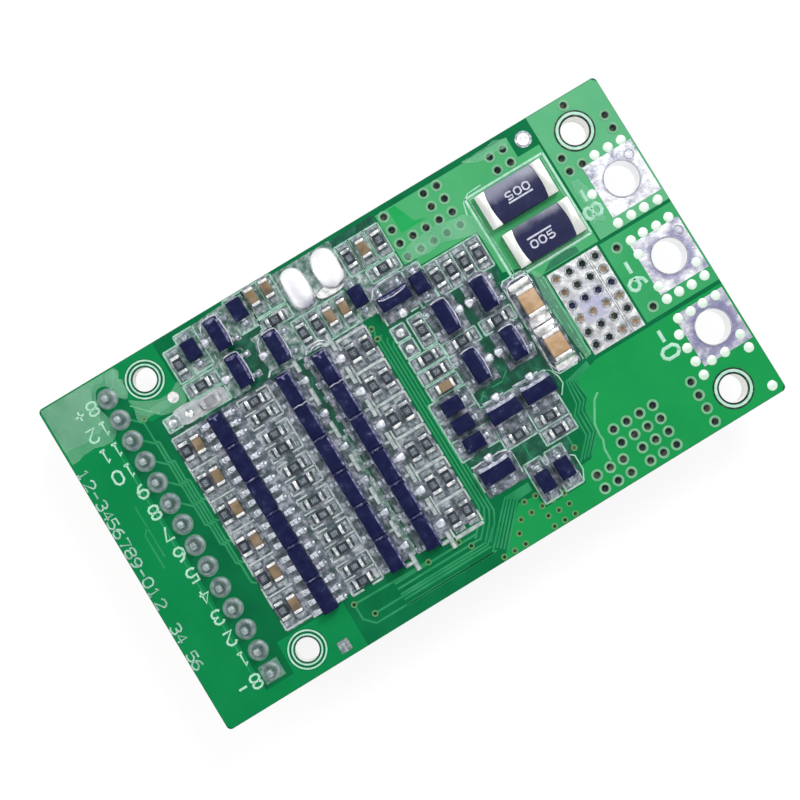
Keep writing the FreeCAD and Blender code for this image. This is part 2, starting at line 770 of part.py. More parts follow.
def small_chips():
    """Chip parts of the six cell channels and of the control circuit."""
    chip = ("Sizes.chip_length", "Sizes.chip_width")
    resistor = (*chip, "Sizes.resistor_height", "Sizes.chip_end")
    capacitor = (*chip, "Sizes.capacitor_height", "Sizes.chip_end")
    resistor_core = chip_core("resistor_core", *resistor)
    resistor_caps = chip_caps("resistor_caps", *resistor)
    capacitor_core = chip_core("capacitor_core", *capacitor)
    capacitor_caps = chip_caps("capacitor_caps", *capacitor)
    filter_row = ("Sizes.filter_first_y", "Sizes.filter_pitch")
    gate_places = []
    for side in (-1, 1):
        shift = f"{side} * Sizes.gate_resistor_half_gap"
        gate_places += cell_places("gate_resistor_x", shift=shift)
    bleed_places = []
    for column in ("bleed_near_x", "bleed_far_x"):
        bleed_places += cell_places(column, first="Sizes.bleed_first_y", turns=1)
    resistor_groups = {
        "filter_resistor": cell_places("filter_resistor_x", *filter_row, turns=1),
        "gate_resistor": gate_places,
        "bleed_resistor": bleed_places,
        "control_resistor": sheet_places(CONTROL_RESISTORS),
    }
    capacitor_groups = {
        "filter_capacitor": cell_places("filter_capacitor_x", *filter_row, turns=1),
        "control_capacitor": sheet_places(CONTROL_CAPACITORS),
    }
    for name, places in resistor_groups.items():
        add_copies(name + "_bodies", resistor_core, places)
        add_copies(name + "_ends", resistor_caps, places)
    for name, places in capacitor_groups.items():
        add_copies(name + "_bodies", capacitor_core, places)
        add_copies(name + "_ends", capacitor_caps, places)


def bulk_solder():
    """Fillet of solder at each end of a large capacitor, with a hollow face."""
    reach = "Sizes.bulk_solder_reach"
    foot = "Sizes.bulk_solder_foot"
    fillets = []
    for side in (-1, 1):
        middle = f"{side} * (Sizes.bulk_length + {reach}) / 2"
        block = box(f"bulk_solder_block_{side + 1}", middle, "0", "0", reach,
                    "Sizes.bulk_solder_width", "Sizes.bulk_height - Sizes.lead_thickness")
        hollow = doc.addObject("Part::Cylinder", f"bulk_solder_hollow_{side + 1}")
        hollow.setExpression("Radius", f"{reach} * 1.05")
        hollow.setExpression("Height", "Sizes.bulk_solder_width * 2")
        hollow.Placement = FreeCAD.Placement(FreeCAD.Vector(0, 0, 0),
                                             FreeCAD.Rotation(FreeCAD.Vector(1, 0, 0), 90))
        hollow.setExpression("Placement.Base.x", f"{side} * (Sizes.bulk_length / 2 + {reach} * 1.1)")
        hollow.setExpression("Placement.Base.y", "Sizes.bulk_solder_width")
        hollow.setExpression("Placement.Base.z", f"{foot} + {reach} * 1.05")
        fillets.append(cut(f"bulk_solder_fillet_{side + 1}", block, hollow))
    return group("bulk_solder", *fillets)


def bulk_capacitors():
    size = ("Sizes.bulk_length", "Sizes.bulk_width", "Sizes.bulk_height", "Sizes.bulk_end")
    places = sheet_places(BULK_CAPACITORS)
    add_copies("bulk_capacitor_bodies", chip_core("bulk_core", *size), places)
    add_copies("bulk_capacitor_ends", chip_caps("bulk_caps", *size), places)
    add_copies("bulk_capacitor_solder", bulk_solder(), places)


# Sensing resistors and wire lands


def shunt_body():
    """Coated middle whose two ends bow outwards over the metal."""
    block = box("shunt_block", "0", "0", "0", "Sizes.shunt_body_length", "Sizes.shunt_width",
                "Sizes.shunt_height")
    rounds = []
    for side in (-1, 1):
        bow = doc.addObject("Part::Cylinder", f"shunt_bow_{side + 1}")
        bow.setExpression("Radius", "Sizes.shunt_end_radius")
        bow.setExpression("Height", "Sizes.shunt_height")
        place(bow, f"{side} * (Sizes.shunt_body_length / 2 - Sizes.shunt_end_radius)")
        rounds.append(bow)
    middle = doc.addObject("Part::MultiCommon", "shunt_body")
    middle.Shapes = [block, *rounds]
    return middle


def shunt_terminals(middle):
    """Metal on both sides of the coated middle."""
    bar = box("shunt_bar", "0", "0", "0", "Sizes.shunt_length", "Sizes.shunt_width", "Sizes.shunt_height")
    return cut("shunt_terminals", bar, middle)


def shunts():
    middle = shunt_body()
    add_copies("shunt_bodies", middle, sheet_places(SHUNTS))
    add_copies("shunt_terminal_plates", shunt_terminals(middle), sheet_places(SHUNTS))


def wire_mounds():
    """Oval heaps of solder on the two wire lands, steep at the foot and flatter above."""
    body = new_body("wire_mound")
    shoulder = "Sizes.mound_shoulder"
    inset = "(Sizes.mound_shoulder * tan(Sizes.mound_foot_draft))"
    foot = new_sketch(body, "mound_foot")
    draw_oval(foot, "Sizes.mound_length", "Sizes.mound_width")
    pad(body, foot, shoulder, draft="-Sizes.mound_foot_draft")
    crown = new_sketch(body, "mound_crown", offset=shoulder)
    draw_oval(crown, f"Sizes.mound_length - 2 * {inset}", f"Sizes.mound_width - 2 * {inset}")
    pad(body, crown, f"Sizes.mound_height - {shoulder}", draft="-Sizes.mound_crown_draft")
    add_copies("wire_solder_mounds", body, sheet_places(WIRE_MOUNDS))


# Power transistors under the board, drawn upside down from the underside and with the tab towards +Y


def power_body():
    """Moulded block with a recess on the board side where the tab is seated."""
    body = new_body("power_body")
    outline = new_sketch(body, "power_body_outline")
    draw_rectangle(outline, "0", "0", "Sizes.power_body_width", "Sizes.power_body_length")
    pad(body, outline, "Sizes.power_body_height", down=True, draft="-Sizes.power_body_draft")
    seat = new_sketch(body, "power_tab_seat", offset="-Sizes.power_tab_thickness")
    draw_rectangle(seat, "0", "Sizes.power_body_length / 2 - Sizes.power_tab_seat / 2",
                   "Sizes.power_tab_width", "Sizes.power_tab_seat")
    pocket(body, seat, "Sizes.power_tab_thickness")
    return body


def power_tab():
    """Copper tab soldered flat to the board and standing out past the moulding."""
    depth = "(Sizes.power_tab_seat + Sizes.power_tab_reach)"
    middle = "Sizes.power_body_length / 2 + (Sizes.power_tab_reach - Sizes.power_tab_seat) / 2"
    return box("power_tab", "0", middle, "-Sizes.power_tab_thickness",
               "Sizes.power_tab_width", depth, "Sizes.power_tab_thickness")


def power_leads():
    """Two outer leads that step back to the board from the end opposite the tab."""
    body = new_body("power_lead_pair")
    thick = "Sizes.power_tab_thickness"
    root = "-Sizes.power_body_length / 2"
    tip = f"{root} - Sizes.power_lead_reach"
    level = "-Sizes.power_lead_level"
    for side in (-1, 1):
        profile = new_sketch(body, f"power_lead_{side + 1}", plane="YZ_Plane",
                             offset=f"{side} * Sizes.power_lead_spacing / 2")
        draw_outline(profile, (
            (f"{root} + Sizes.power_lead_level * tan(Sizes.power_body_draft)", level),
            (f"{tip} + Sizes.power_lead_foot + {thick}", level),
            (f"{tip} + Sizes.power_lead_foot", f"-{thick}"),
            (tip, f"-{thick}"),
            (tip, "0"),
            (f"{tip} + Sizes.power_lead_foot + {thick}", "0"),
            (f"{tip} + Sizes.power_lead_foot + 2 * {thick}", f"{level} + {thick}"),
            (f"{root} + (Sizes.power_lead_level - {thick}) * tan(Sizes.power_body_draft)",
             f"{level} + {thick}"),
        ))
        pad(body, profile, "Sizes.power_lead_width", symmetric=True)
    return body


def power_transistors():
    """Two in each row, tabs towards the board's long edges and leads facing across the middle."""
    places = []
    middle_y = "(Sizes.power_body_inner_y + Sizes.power_body_length / 2)"
    for column in range(2):
        x = f"{along('power_near_x')} + {column} * Sizes.power_pitch"
        places.append((x, middle_y, 0))
        places.append((x, f"-{middle_y}", 2))
    add_copies("power_transistor_bodies", power_body(), places, level=UNDERSIDE)
    add_copies("power_transistor_tabs", power_tab(), places, level=UNDERSIDE)
    add_copies("power_transistor_leads", power_leads(), places, level=UNDERSIDE)


def check_and_write():
    """Stop on any failed object or invalid shape, then write one file for each node."""
    doc.recompute()
    for item in doc.Objects:
        if "Invalid" in item.State or "Error" in item.State:
            raise RuntimeError(f"{item.Label} failed to build")
    os.makedirs("parts", exist_ok=True)
    for node in nodes:
        if node.Shape.isNull() or not node.Shape.isValid():
            raise RuntimeError(f"{node.Label} has no valid shape")
        node.Shape.exportStep(f"parts/{node.Label}.step")
        print(f"{node.Label}: {len(node.Shape.Solids)} solids, {node.Shape.Volume:.3f} mm3")


field_vias = copies("field_vias", drill("field_via_drill", "Sizes.via_radius"), field_places(), UNDERSIDE)
circuit_board(field_vias)
for label, hole_y in POWER_HOLES.items():
    power_pad(label, hole_y)
heat_field(field_vias)
balance_socket()
packages()
small_chips()
bulk_capacitors()
shunts()
wire_mounds()
power_transistors()
check_and_write()
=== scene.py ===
"""Looks of a battery management board: copper, mask, ink, solder, coated parts and the hidden socket."""

import logging
import math
from collections.abc import Sequence
from dataclasses import dataclass, field
from enum import Enum
from typing import Any

import bpy
import numpy as np
from mathutils import Matrix, Vector, noise

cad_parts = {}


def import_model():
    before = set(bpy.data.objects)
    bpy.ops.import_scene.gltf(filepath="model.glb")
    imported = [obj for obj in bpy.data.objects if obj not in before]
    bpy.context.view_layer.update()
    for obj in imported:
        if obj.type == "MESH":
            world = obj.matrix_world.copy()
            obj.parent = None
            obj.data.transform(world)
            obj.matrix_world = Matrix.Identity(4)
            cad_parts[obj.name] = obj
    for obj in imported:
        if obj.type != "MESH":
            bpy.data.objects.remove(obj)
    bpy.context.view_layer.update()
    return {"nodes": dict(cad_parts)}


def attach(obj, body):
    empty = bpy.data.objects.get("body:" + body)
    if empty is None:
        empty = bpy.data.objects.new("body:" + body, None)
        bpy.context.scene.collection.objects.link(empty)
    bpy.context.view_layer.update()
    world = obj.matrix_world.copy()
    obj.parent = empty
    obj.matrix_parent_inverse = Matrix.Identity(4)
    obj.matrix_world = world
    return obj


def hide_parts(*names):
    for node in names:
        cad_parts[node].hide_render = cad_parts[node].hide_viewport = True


log = logging.getLogger("board")

MM = 0.001
TOP = 6.4
UNDERSIDE = 4.8
MERGE = 1e-7
EDGE_REACH = 15.1

# Sockets of a colour mix
MIX_A = 6
MIX_B = 7
MIX_OUT = 2

Point = tuple[float, float]
Path = list[Point]


# Colours and materials


def linear(code: str) -> tuple[float, float, float, float]:
    """Turn an sRGB hex colour to linear.

    Args:
        code: Colour as "#rrggbb".

    Returns:
        Linear red, green and blue, and an alpha of 1.
    """
    parts = [int(code[index:index + 2], 16) / 255 for index in (1, 3, 5)]
    values = [part / 12.92 if part <= 0.04045 else ((part + 0.055) / 1.055) ** 2.4 for part in parts]
    return (*values, 1.0)


def add_node(tree: bpy.types.NodeTree, kind: str, values: dict[Any, Any] | None = None,
             links: dict[Any, bpy.types.NodeSocket] | None = None, **settings: Any) -> bpy.types.Node:
    """Add a node with its settings, its own values and its links.

    Args:
        tree: Tree that the node goes into.
        kind: Type name of the node.
        values: Value of each input that isn't linked.
        links: Output that feeds each linked input.
        settings: Properties of the node itself.

    Returns:
        The new node.
    """
    node = tree.nodes.new(kind)
    for name, setting in settings.items():
        setattr(node, name, setting)
    for socket, value in (values or {}).items():
        node.inputs[socket].default_value = value
    for socket, source in (links or {}).items():
        tree.links.new(source, node.inputs[socket])
    return node


def lies_flat(tree: bpy.types.NodeTree, limit: float) -> bpy.types.NodeSocket:
    """Tell the flat faces of a piece from its upright ones.

    Args:
        tree: Tree of the material.
        limit: How far up or down a flat face's normal points, from 0 to 1.

    Returns:
        An output that is 1 on flat faces and 0 on upright ones.
    """
    normal = add_node(tree, "ShaderNodeNewGeometry").outputs["Normal"]
    parts = add_node(tree, "ShaderNodeSeparateXYZ", links={"Vector": normal})
    lift = add_node(tree, "ShaderNodeMath", links={0: parts.outputs["Z"]}, operation="ABSOLUTE")
    flat = add_node(tree, "ShaderNodeMath", {1: limit}, {0: lift.outputs[0]}, operation="GREATER_THAN")
    return flat.outputs[0]


@dataclass(frozen=True)
class Finish:
    """Procedural surface: colour patches of a real size, fine relief and gloss.

    Tones run from the low to the high end of the patch noise. Patch and relief sizes are in millimetres.
    """

    name: str
    tones: tuple[tuple[float, str], ...]
    patch: float = 1.5
    detail: float = 3.0
    stretch: tuple[float, float, float] = (1.0, 1.0, 1.0)
    roughness: float = 0.4
    roughness_swing: float = 0.08
    metallic: float = 0.0
    specular: float = 0.3
    coat: float = 0.0
    coat_roughness: float = 0.1
    relief_size: float = 0.3
    relief: float = 0.004
    alpha: float = 1.0

    def patches(self, tree: bpy.types.NodeTree) -> tuple[bpy.types.Node, bpy.types.Node]:
        """Add the coordinates and the noise that the colour follows.

        Args:
            tree: Tree of the material.

        Returns:
            The mapping node and the noise node.
        """
        place = add_node(tree, "ShaderNodeTexCoord")
        mapping = add_node(tree, "ShaderNodeMapping", {"Scale": self.stretch},
                           {"Vector": place.outputs["Object"]})
        mottle = add_node(tree, "ShaderNodeTexNoise",
                          {"Scale": 1 / (self.patch * MM), "Detail": self.detail, "Roughness": 0.6},
                          {"Vector": mapping.outputs["Vector"]})
        return mapping, mottle

    def colour(self, tree: bpy.types.NodeTree, mottle: bpy.types.Node) -> bpy.types.NodeSocket:
        """Add the ramp that turns the noise to the tones.

        Args:
            tree: Tree of the material.
            mottle: Noise that drives the ramp.

        Returns:
            The colour output.
        """
        ramp = add_node(tree, "ShaderNodeValToRGB", links={"Fac": mottle.outputs["Fac"]})
        stops = ramp.color_ramp.elements
        for index, (position, code) in enumerate(self.tones):
            stop = stops[index] if index < 2 else stops.new(position)
            stop.position = position
            stop.color = linear(code)
        return ramp.outputs["Color"]

    def build(self) -> bpy.types.Material:
        """Make the material.

        Returns:
            The finished material.
        """
        material = bpy.data.materials.new(self.name)
        material.use_nodes = True
        tree = material.node_tree
        tree.nodes.clear()
        mapping, mottle = self.patches(tree)
        grain = add_node(tree, "ShaderNodeTexNoise",
                         {"Scale": 1 / (self.relief_size * MM), "Detail": 2.0},
                         {"Vector": mapping.outputs["Vector"]})
        bump = add_node(tree, "ShaderNodeBump", {"Strength": 1.0, "Distance": self.relief * MM},
                        {"Height": grain.outputs["Fac"]})
        rough = add_node(tree, "ShaderNodeMapRange",
                         {"To Min": max(self.roughness - self.roughness_swing, 0.02),
                          "To Max": self.roughness + self.roughness_swing},
                         {"Value": grain.outputs["Fac"]})
        values = {"Metallic": self.metallic, "Alpha": self.alpha}
        if not self.metallic:
            values["Specular IOR Level"] = self.specular
        if self.coat:
            values["Coat Weight"] = self.coat
            values["Coat Roughness"] = self.coat_roughness
        shader = add_node(tree, "ShaderNodeBsdfPrincipled", values,
                          {"Base Color": self.colour(tree, mottle), "Roughness": rough.outputs["Result"],
                           "Normal": bump.outputs["Normal"]})
        add_node(tree, "ShaderNodeOutputMaterial", links={"Surface": shader.outputs["BSDF"]})
        return material


@dataclass(frozen=True)
class MaskedLaminate(Finish):
    """Solder mask on the flat faces, bare laminate on the sawn edges and near-white hole walls: painted
    light that hides the shade inside the holes.
    """

    laminate: str = "#DDE1C9"
    painted_light_bore: str = "#FBFCF9"
    edge_x: float = 26.6
    edge_y: float = 15.0
    flat_from: float = 0.5

    def colour(self, tree: bpy.types.NodeTree, mottle: bpy.types.Node) -> bpy.types.NodeSocket:
        """Add the mask's tones and swap them where the surface stands upright: laminate on the sawn
        edges, painted light in the holes.

        Args:
            tree: Tree of the material.
            mottle: Noise that drives the mask's tones.

        Returns:
            The colour output.
        """
        mask = super().colour(tree, mottle)
        place = add_node(tree, "ShaderNodeSeparateXYZ",
                         links={"Vector": add_node(tree, "ShaderNodeTexCoord").outputs["Object"]})
        outer = []
        for axis, limit in (("X", self.edge_x), ("Y", self.edge_y)):
            away = add_node(tree, "ShaderNodeMath", links={0: place.outputs[axis]}, operation="ABSOLUTE")
            outer.append(add_node(tree, "ShaderNodeMath", {1: limit * MM}, {0: away.outputs[0]},
                                  operation="GREATER_THAN").outputs[0])
        sawn = add_node(tree, "ShaderNodeMath", links={0: outer[0], 1: outer[1]}, operation="MAXIMUM")
        glass = add_node(tree, "ShaderNodeMix", {MIX_A: linear(self.painted_light_bore), MIX_B: linear(self.laminate)},
                         {0: sawn.outputs[0]}, data_type="RGBA")
        links = {0: lies_flat(tree, self.flat_from), MIX_A: glass.outputs[MIX_OUT], MIX_B: mask}
        return add_node(tree, "ShaderNodeMix", links=links, data_type="RGBA").outputs[MIX_OUT]


@dataclass(frozen=True)
class StainAndShade(Finish):
    """Solder whose tones fade to a second tone round a centre: a lilac ring round a land's hole, cloudy
    stains on the heat field, and painted shade at the lower end of a wire solder heap.
    """

    centre: tuple[float, float] = (0.0, 0.0)
    inner: float = 1.5
    outer: float = 2.3
    stain_and_shade: str = "#9694B2"
    ragged: float = 1.2
    wall: str = "#F3F4F6"
    flat_from: float = 0.3

    def colour(self, tree: bpy.types.NodeTree, mottle: bpy.types.Node) -> bpy.types.NodeSocket:
        """Add the tones and fade them to the second tone towards the centre.

        Args:
            tree: Tree of the material.
            mottle: Noise that drives the tones and roughens the second tone's edge.

        Returns:
            The colour output.
        """
        metal = super().colour(tree, mottle)
        place = add_node(tree, "ShaderNodeTexCoord").outputs["Object"]
        parts = add_node(tree, "ShaderNodeSeparateXYZ", links={"Vector": place})
        ground = add_node(tree, "ShaderNodeCombineXYZ",
                          links={"X": parts.outputs["X"], "Y": parts.outputs["Y"]})
        away = add_node(tree, "ShaderNodeVectorMath", {1: (self.centre[0] * MM, self.centre[1] * MM, 0)},
                        {0: ground.outputs["Vector"]}, operation="DISTANCE")
        wander = add_node(tree, "ShaderNodeMath", {1: self.ragged * MM}, {0: mottle.outputs["Fac"]},
                          operation="MULTIPLY")
        reach = add_node(tree, "ShaderNodeMath", links={0: away.outputs["Value"], 1: wander.outputs[0]},
                         operation="ADD")
        fade = add_node(tree, "ShaderNodeMapRange",
                        {"From Min": (self.inner + self.ragged / 2) * MM,
                         "From Max": (self.outer + self.ragged / 2) * MM},
                        {"Value": reach.outputs[0]}, interpolation_type="SMOOTHSTEP")
        face = add_node(tree, "ShaderNodeMix", {MIX_A: linear(self.stain_and_shade)},
                        {0: fade.outputs["Result"], MIX_B: metal}, data_type="RGBA")
        links = {0: lies_flat(tree, self.flat_from), MIX_B: face.outputs[MIX_OUT]}
        return add_node(tree, "ShaderNodeMix", {MIX_A: linear(self.wall)}, links,
                        data_type="RGBA").outputs[MIX_OUT]


@dataclass(frozen=True)
class Sheen(Finish):
    """Moulding that brightens towards the edge that faces the window."""

    gleam: str = "#9295A8"
    bands: tuple[tuple[float, float, float], ...] = ()
    wander: float = 1.1

    def colour(self, tree: bpy.types.NodeTree, mottle: bpy.types.Node) -> bpy.types.NodeSocket:
        """Add the moulding's tones and fade them to the gleam in each band along Y.

        Args:
            tree: Tree of the material.
            mottle: Noise that drives the tones and roughens the fade.

        Returns:
            The colour output.
        """
        colour = super().colour(tree, mottle)
        place = add_node(tree, "ShaderNodeTexCoord").outputs["Object"]
        y = add_node(tree, "ShaderNodeSeparateXYZ", links={"Vector": place}).outputs["Y"]
        drift = add_node(tree, "ShaderNodeMath", {1: self.wander * MM, 2: -self.wander / 2 * MM},
                         {0: mottle.outputs["Fac"]}, operation="MULTIPLY_ADD")
        moved = add_node(tree, "ShaderNodeMath", links={0: y, 1: drift.outputs[0]}, operation="ADD")
        for start, full, stop in self.bands:
            fade = add_node(tree, "ShaderNodeMapRange", {"From Min": start * MM, "From Max": full * MM},
                            {"Value": moved.outputs[0]}, interpolation_type="SMOOTHSTEP")
            below = add_node(tree, "ShaderNodeMath", {1: stop * MM}, {0: y}, operation="LESS_THAN")
            share = add_node(tree, "ShaderNodeMath", links={0: fade.outputs["Result"],
                                                            1: below.outputs[0]},
                             operation="MULTIPLY")
            colour = add_node(tree, "ShaderNodeMix", {MIX_B: linear(self.gleam)},
                              {0: share.outputs[0], MIX_A: colour}, data_type="RGBA").outputs[MIX_OUT]
        return colour


def masked(name: str, low: str, high: str, patch: float) -> Finish:
    """Return solder mask over a pour of copper, between its darkest and its lightest green."""
    return Finish(name, ((0.25, low), (0.75, high)), patch, roughness=0.4, specular=0.03)


class Surface(Enum):
    """Every finish on the board, named for what the real one is made of."""

    # Liquid solder mask straight on laminate: deep green, satin, with pale glass at the cut edges and
    # painted light on the hole walls
    BARE_MASK = MaskedLaminate("green_mask_on_laminate", ((0.3, "#0A693F"), (0.7, "#0F7748")), 3.0,
        roughness=0.4, specular=0.03)
    # Mask over copper: the copper under it makes the green lighter and yellower; towards the top right
    # the green is lighter still with painted lamp glare
    POUR_LEFT = masked("green_mask_over_copper", "#098247", "#128C50", 4.0)
    POUR_LOW = masked("green_mask_over_wide_copper", "#19954E", "#219F55", 5.0)
    # Top-right pours: part of their lighter green is painted lamp glare
    POUR_HIGH = masked("green_mask_over_copper_with_painted_glare", "#46AB6B", "#58B67A", 5.0)
    POUR_EDGE = masked("green_mask_over_end_copper_with_painted_glare", "#58B37C", "#69BA88", 5.0)
    POUR_LAND = masked("green_mask_over_land_copper", "#35A161", "#45AD70", 4.0)
    POUR_VIVID = masked("green_mask_over_clean_copper", "#1FA351", "#2BAD5E", 4.0)
    POUR_FINE = masked("green_mask_over_fine_tracks", "#096B3D", "#117647", 3.0)
    POUR_SHADE = masked("green_mask_in_part_shade", "#2C7554", "#448869", 1.5)
    # Mask over narrow tracks: a light line each
    TRACK = Finish("green_mask_over_tracks", ((0.3, "#238E58"), (0.7, "#3B9E6B")), 2.0, roughness=0.4,
        specular=0.05)
    # Tracks that catch more light: almost mint
    TRACK_PALE = Finish("pale_mask_over_tracks", ((0.3, "#5BB083"), (0.7, "#80C89C")), 2.0,
        roughness=0.4, specular=0.05)
    # Dried clear varnish over flux among the parts: a grey glaze, mottled every fraction of a millimetre
    GLAZE = Finish("varnish_over_flux",
        ((0.36, "#2E4A46"), (0.45, "#545F6A"), (0.54, "#757B87"), (0.66, "#B2B5C2")), 0.7, detail=3.5,
        roughness=0.2, roughness_swing=0.06, specular=0.3, coat=0.3, coat_roughness=0.04,
        relief_size=0.3, relief=0.014)
    # Greener among the control parts, where less flux lies under it
    GLAZE_GREEN = Finish("varnish_over_thin_flux",
        ((0.35, "#2C6050"), (0.44, "#5A7A72"), (0.54, "#849A96"), (0.66, "#C9D2D2")), 0.55, detail=4.0,
        roughness=0.12, roughness_swing=0.06, specular=0.3, coat=0.3, coat_roughness=0.04,
        relief_size=0.25, relief=0.018)
    # The same varnish where it lies on clean mask: clear, so the green shows
    CLEAR = Finish("varnish_over_mask",
        ((0.36, "#064633"), (0.52, "#0E5841"), (0.66, "#256F57"), (0.8, "#8FA8A2")), 0.9, detail=4.0,
        roughness=0.12, roughness_swing=0.05, specular=0.15, coat=0.15, coat_roughness=0.04,
        relief_size=0.3, relief=0.02)
    # Thin milky film where the varnish dried over the corner; its lighter green is partly painted glare,
    # here and in the pale patches at the top right
    FILM_AND_GLARE = Finish("milky_film_and_painted_glare", ((0.35, "#8ADBB0"), (0.65, "#ACEFCB")), 2.0,
        stretch=(1.0, 0.45, 1.0), roughness=0.4, specular=0.05, alpha=0.19)
    # Painted whitish reflection of the glossy varnish over some control parts: lilac-white, half
    # see-through
    PAINTED_GLOSS = Finish("painted_gloss_reflection", ((0.36, "#D0D3DA"), (0.6, "#F4F5F7")), 0.7, roughness=0.3,
        specular=0.1, alpha=0.42)
    # The same painted reflection, fainter, over a chip's top so that the chip shows through
    PAINTED_GLOSS_THIN = Finish("faint_painted_gloss_reflection", ((0.36, "#BFC3CA"), (0.6, "#E6E9EC")), 0.7, roughness=0.3,
        specular=0.1, alpha=0.28)
    # Screen-printed epoxy ink: pale mint, matt, a little uneven
    INK = Finish("mint_marking_ink", ((0.35, "#86B5A2"), (0.65, "#BCE0D1")), 0.45, roughness=0.6,
        specular=0.1)
    # The same ink under varnish that holds flux: greyer
    INK_GLAZED = Finish("varnished_marking_ink", ((0.35, "#9DAEAC"), (0.65, "#D3DCDB")), 0.45,
        roughness=0.4, specular=0.1)
    # White print on the moulded parts
    INK_WHITE = Finish("white_part_print", ((0.35, "#B9BDD2"), (0.65, "#E2E4EE")), 0.4, roughness=0.5,
        specular=0.1)
    # The same ink where it lies thick and clean
    INK_BRIGHT = Finish("bright_marking_ink", ((0.3, "#9FD9BC"), (0.7, "#CFF2E2")), 0.5, roughness=0.55,
        specular=0.1)
    # Hot-air levelled tin: grey, mottled by the varnish on it
    TINNED = Finish("tinned_pad", ((0.34, "#5E6A6D"), (0.5, "#8A9398"), (0.66, "#B9BFC4")), 0.35,
        detail=4.0, metallic=1.0, roughness=0.35, relief_size=0.2, relief=0.02)
    # Land round a socket joint: green varnish over tin
    RING_DULL = Finish("joint_land_ring", ((0.3, "#3F8363"), (0.7, "#7BA592")), 0.6, roughness=0.5,
        specular=0.1)
    # Bare rim of an open via: tin seen through clear varnish
    RING = Finish("tinned_via_ring", ((0.3, "#68AB80"), (0.7, "#8AC19A")), 0.6, roughness=0.4,
        specular=0.1)
    # Rim of a small via: flux tints it olive
    RING_TAN = Finish("plated_small_via_ring", ((0.3, "#45985C"), (0.7, "#719D62")), 0.6, roughness=0.4,
        specular=0.1)
    # Inside of an open via: a dark core standing in for the shade down the hole, with a painted glint of
    # plated wall
    VIA_DARK = Finish("painted_dark_shade_with_glint", ((0.35, "#0E1E22"), (0.5, "#22302F"), (0.68, "#5C5E4C")), 0.5,
        detail=2.0, roughness=0.3, specular=0.2)
    # Via full of varnish: a deep blue dot
    VIA_BLUE = Finish("varnish_filled_via_core", ((0.35, "#15163F"), (0.65, "#2B2D5C")), 0.4,
        roughness=0.2, specular=0.3)
    # Via full of flux: a tan dot
    VIA_TAN = Finish("flux_filled_via_core", ((0.35, "#7A6A5E"), (0.65, "#B59C84")), 0.4, roughness=0.3,
        specular=0.3)
    # Power land of the battery: bright levelled solder with a narrow grey-lilac ring round its hole
    LAND_BRIGHT = StainAndShade("bright_solder_land",
        ((0.33, "#868897"), (0.43, "#B7B9C1"), (0.6, "#DBDDE0")), 1.0, metallic=1.0, roughness=0.35,
        relief=0.02, centre=(24.35, 6.75), inner=1.4, outer=1.85, stain_and_shade="#A9ABB8", ragged=0.6)
    # Power land of the load: lilac-grey solder, darker lilac round its hole
    LAND_LILAC = StainAndShade("levelled_solder_land",
        ((0.33, "#8C8CA8"), (0.46, "#BFC0CA"), (0.62, "#E2E3E7")), 1.1, metallic=1.0, roughness=0.35,
        relief=0.03, centre=(24.5, -0.95), stain_and_shade="#8C8AAA")
    # Power land of the charger: the dullest of the three
    LAND_GREY = StainAndShade("dull_solder_land", ((0.33, "#80809E"), (0.48, "#A7A8B9"), (0.66, "#D5D6DD")),
        1.1, metallic=1.0, roughness=0.35, relief=0.03, centre=(24.4, -7.7), outer=2.6, stain_and_shade="#7F7DA0")
    # Darker line of metal round a hole in a land
    RIM = Finish("dark_land_rim", ((0.3, "#7F808F"), (0.7, "#B4B5BF")), 0.6, metallic=1.0,
        roughness=0.3)
    # Via closed with solder: an almost white dot
    DOME = Finish("solder_filled_via", ((0.3, "#CBE3D1"), (0.7, "#EAF6EC")), 0.8, metallic=1.0,
        roughness=0.4, relief=0.01)
    # Bare tinned field round the field vias: grey, stained in cloudy patches
    HEAT = StainAndShade("tinned_heat_field", ((0.34, "#A3A3A8"), (0.48, "#BCBDBF"), (0.64, "#DDDFDD")), 0.7,
        detail=4.0, metallic=1.0, roughness=0.4, relief=0.03, centre=(16.9, -1.0), inner=0.5, outer=2.0,
        stain_and_shade="#A9A8C2", ragged=2.0)
    # Wetted solder: bright, liquid-smooth
    SOLDER = Finish("bright_solder", ((0.34, "#A5A9B3"), (0.5, "#CDD1DA"), (0.66, "#EEF0F5")), 0.4,
        metallic=1.0, roughness=0.4, relief_size=0.3, relief=0.02)
    # Solder that the varnish dulled
    SOLDER_DULL = Finish("dulled_solder", ((0.34, "#7E8892"), (0.5, "#A0A9B2"), (0.66, "#C9CFD7")), 0.4,
        metallic=1.0, roughness=0.45, relief_size=0.3, relief=0.02)
    # Between the two: the outer column's heaps
    SOLDER_PALE = Finish("hazed_solder", ((0.34, "#858E98"), (0.5, "#ABB3BC"), (0.66, "#D5DAE0")), 0.4,
        metallic=1.0, roughness=0.4, relief_size=0.3, relief=0.02)
    # Socket joints: grey, dull with age
    SOLDER_GREY = Finish("aged_joint_solder", ((0.34, "#7B8D8E"), (0.66, "#AAB4B6")), 0.5, metallic=1.0,
        roughness=0.55, relief_size=0.3, relief=0.02)
    # Heap on the left wire land: nearly white, with painted shade towards its lower end
    SOLDER_LEFT = StainAndShade("heaped_solder_left_painted_shade",
        ((0.34, "#E4E4EA"), (0.5, "#F2F3F6"), (0.66, "#FAFBFC")), 1.6, metallic=1.0, roughness=0.35,
        relief_size=0.8, relief=0.02, centre=(-3.2, 10.7), inner=0.4, outer=1.6, stain_and_shade="#A3A4B3",
        ragged=0.8)
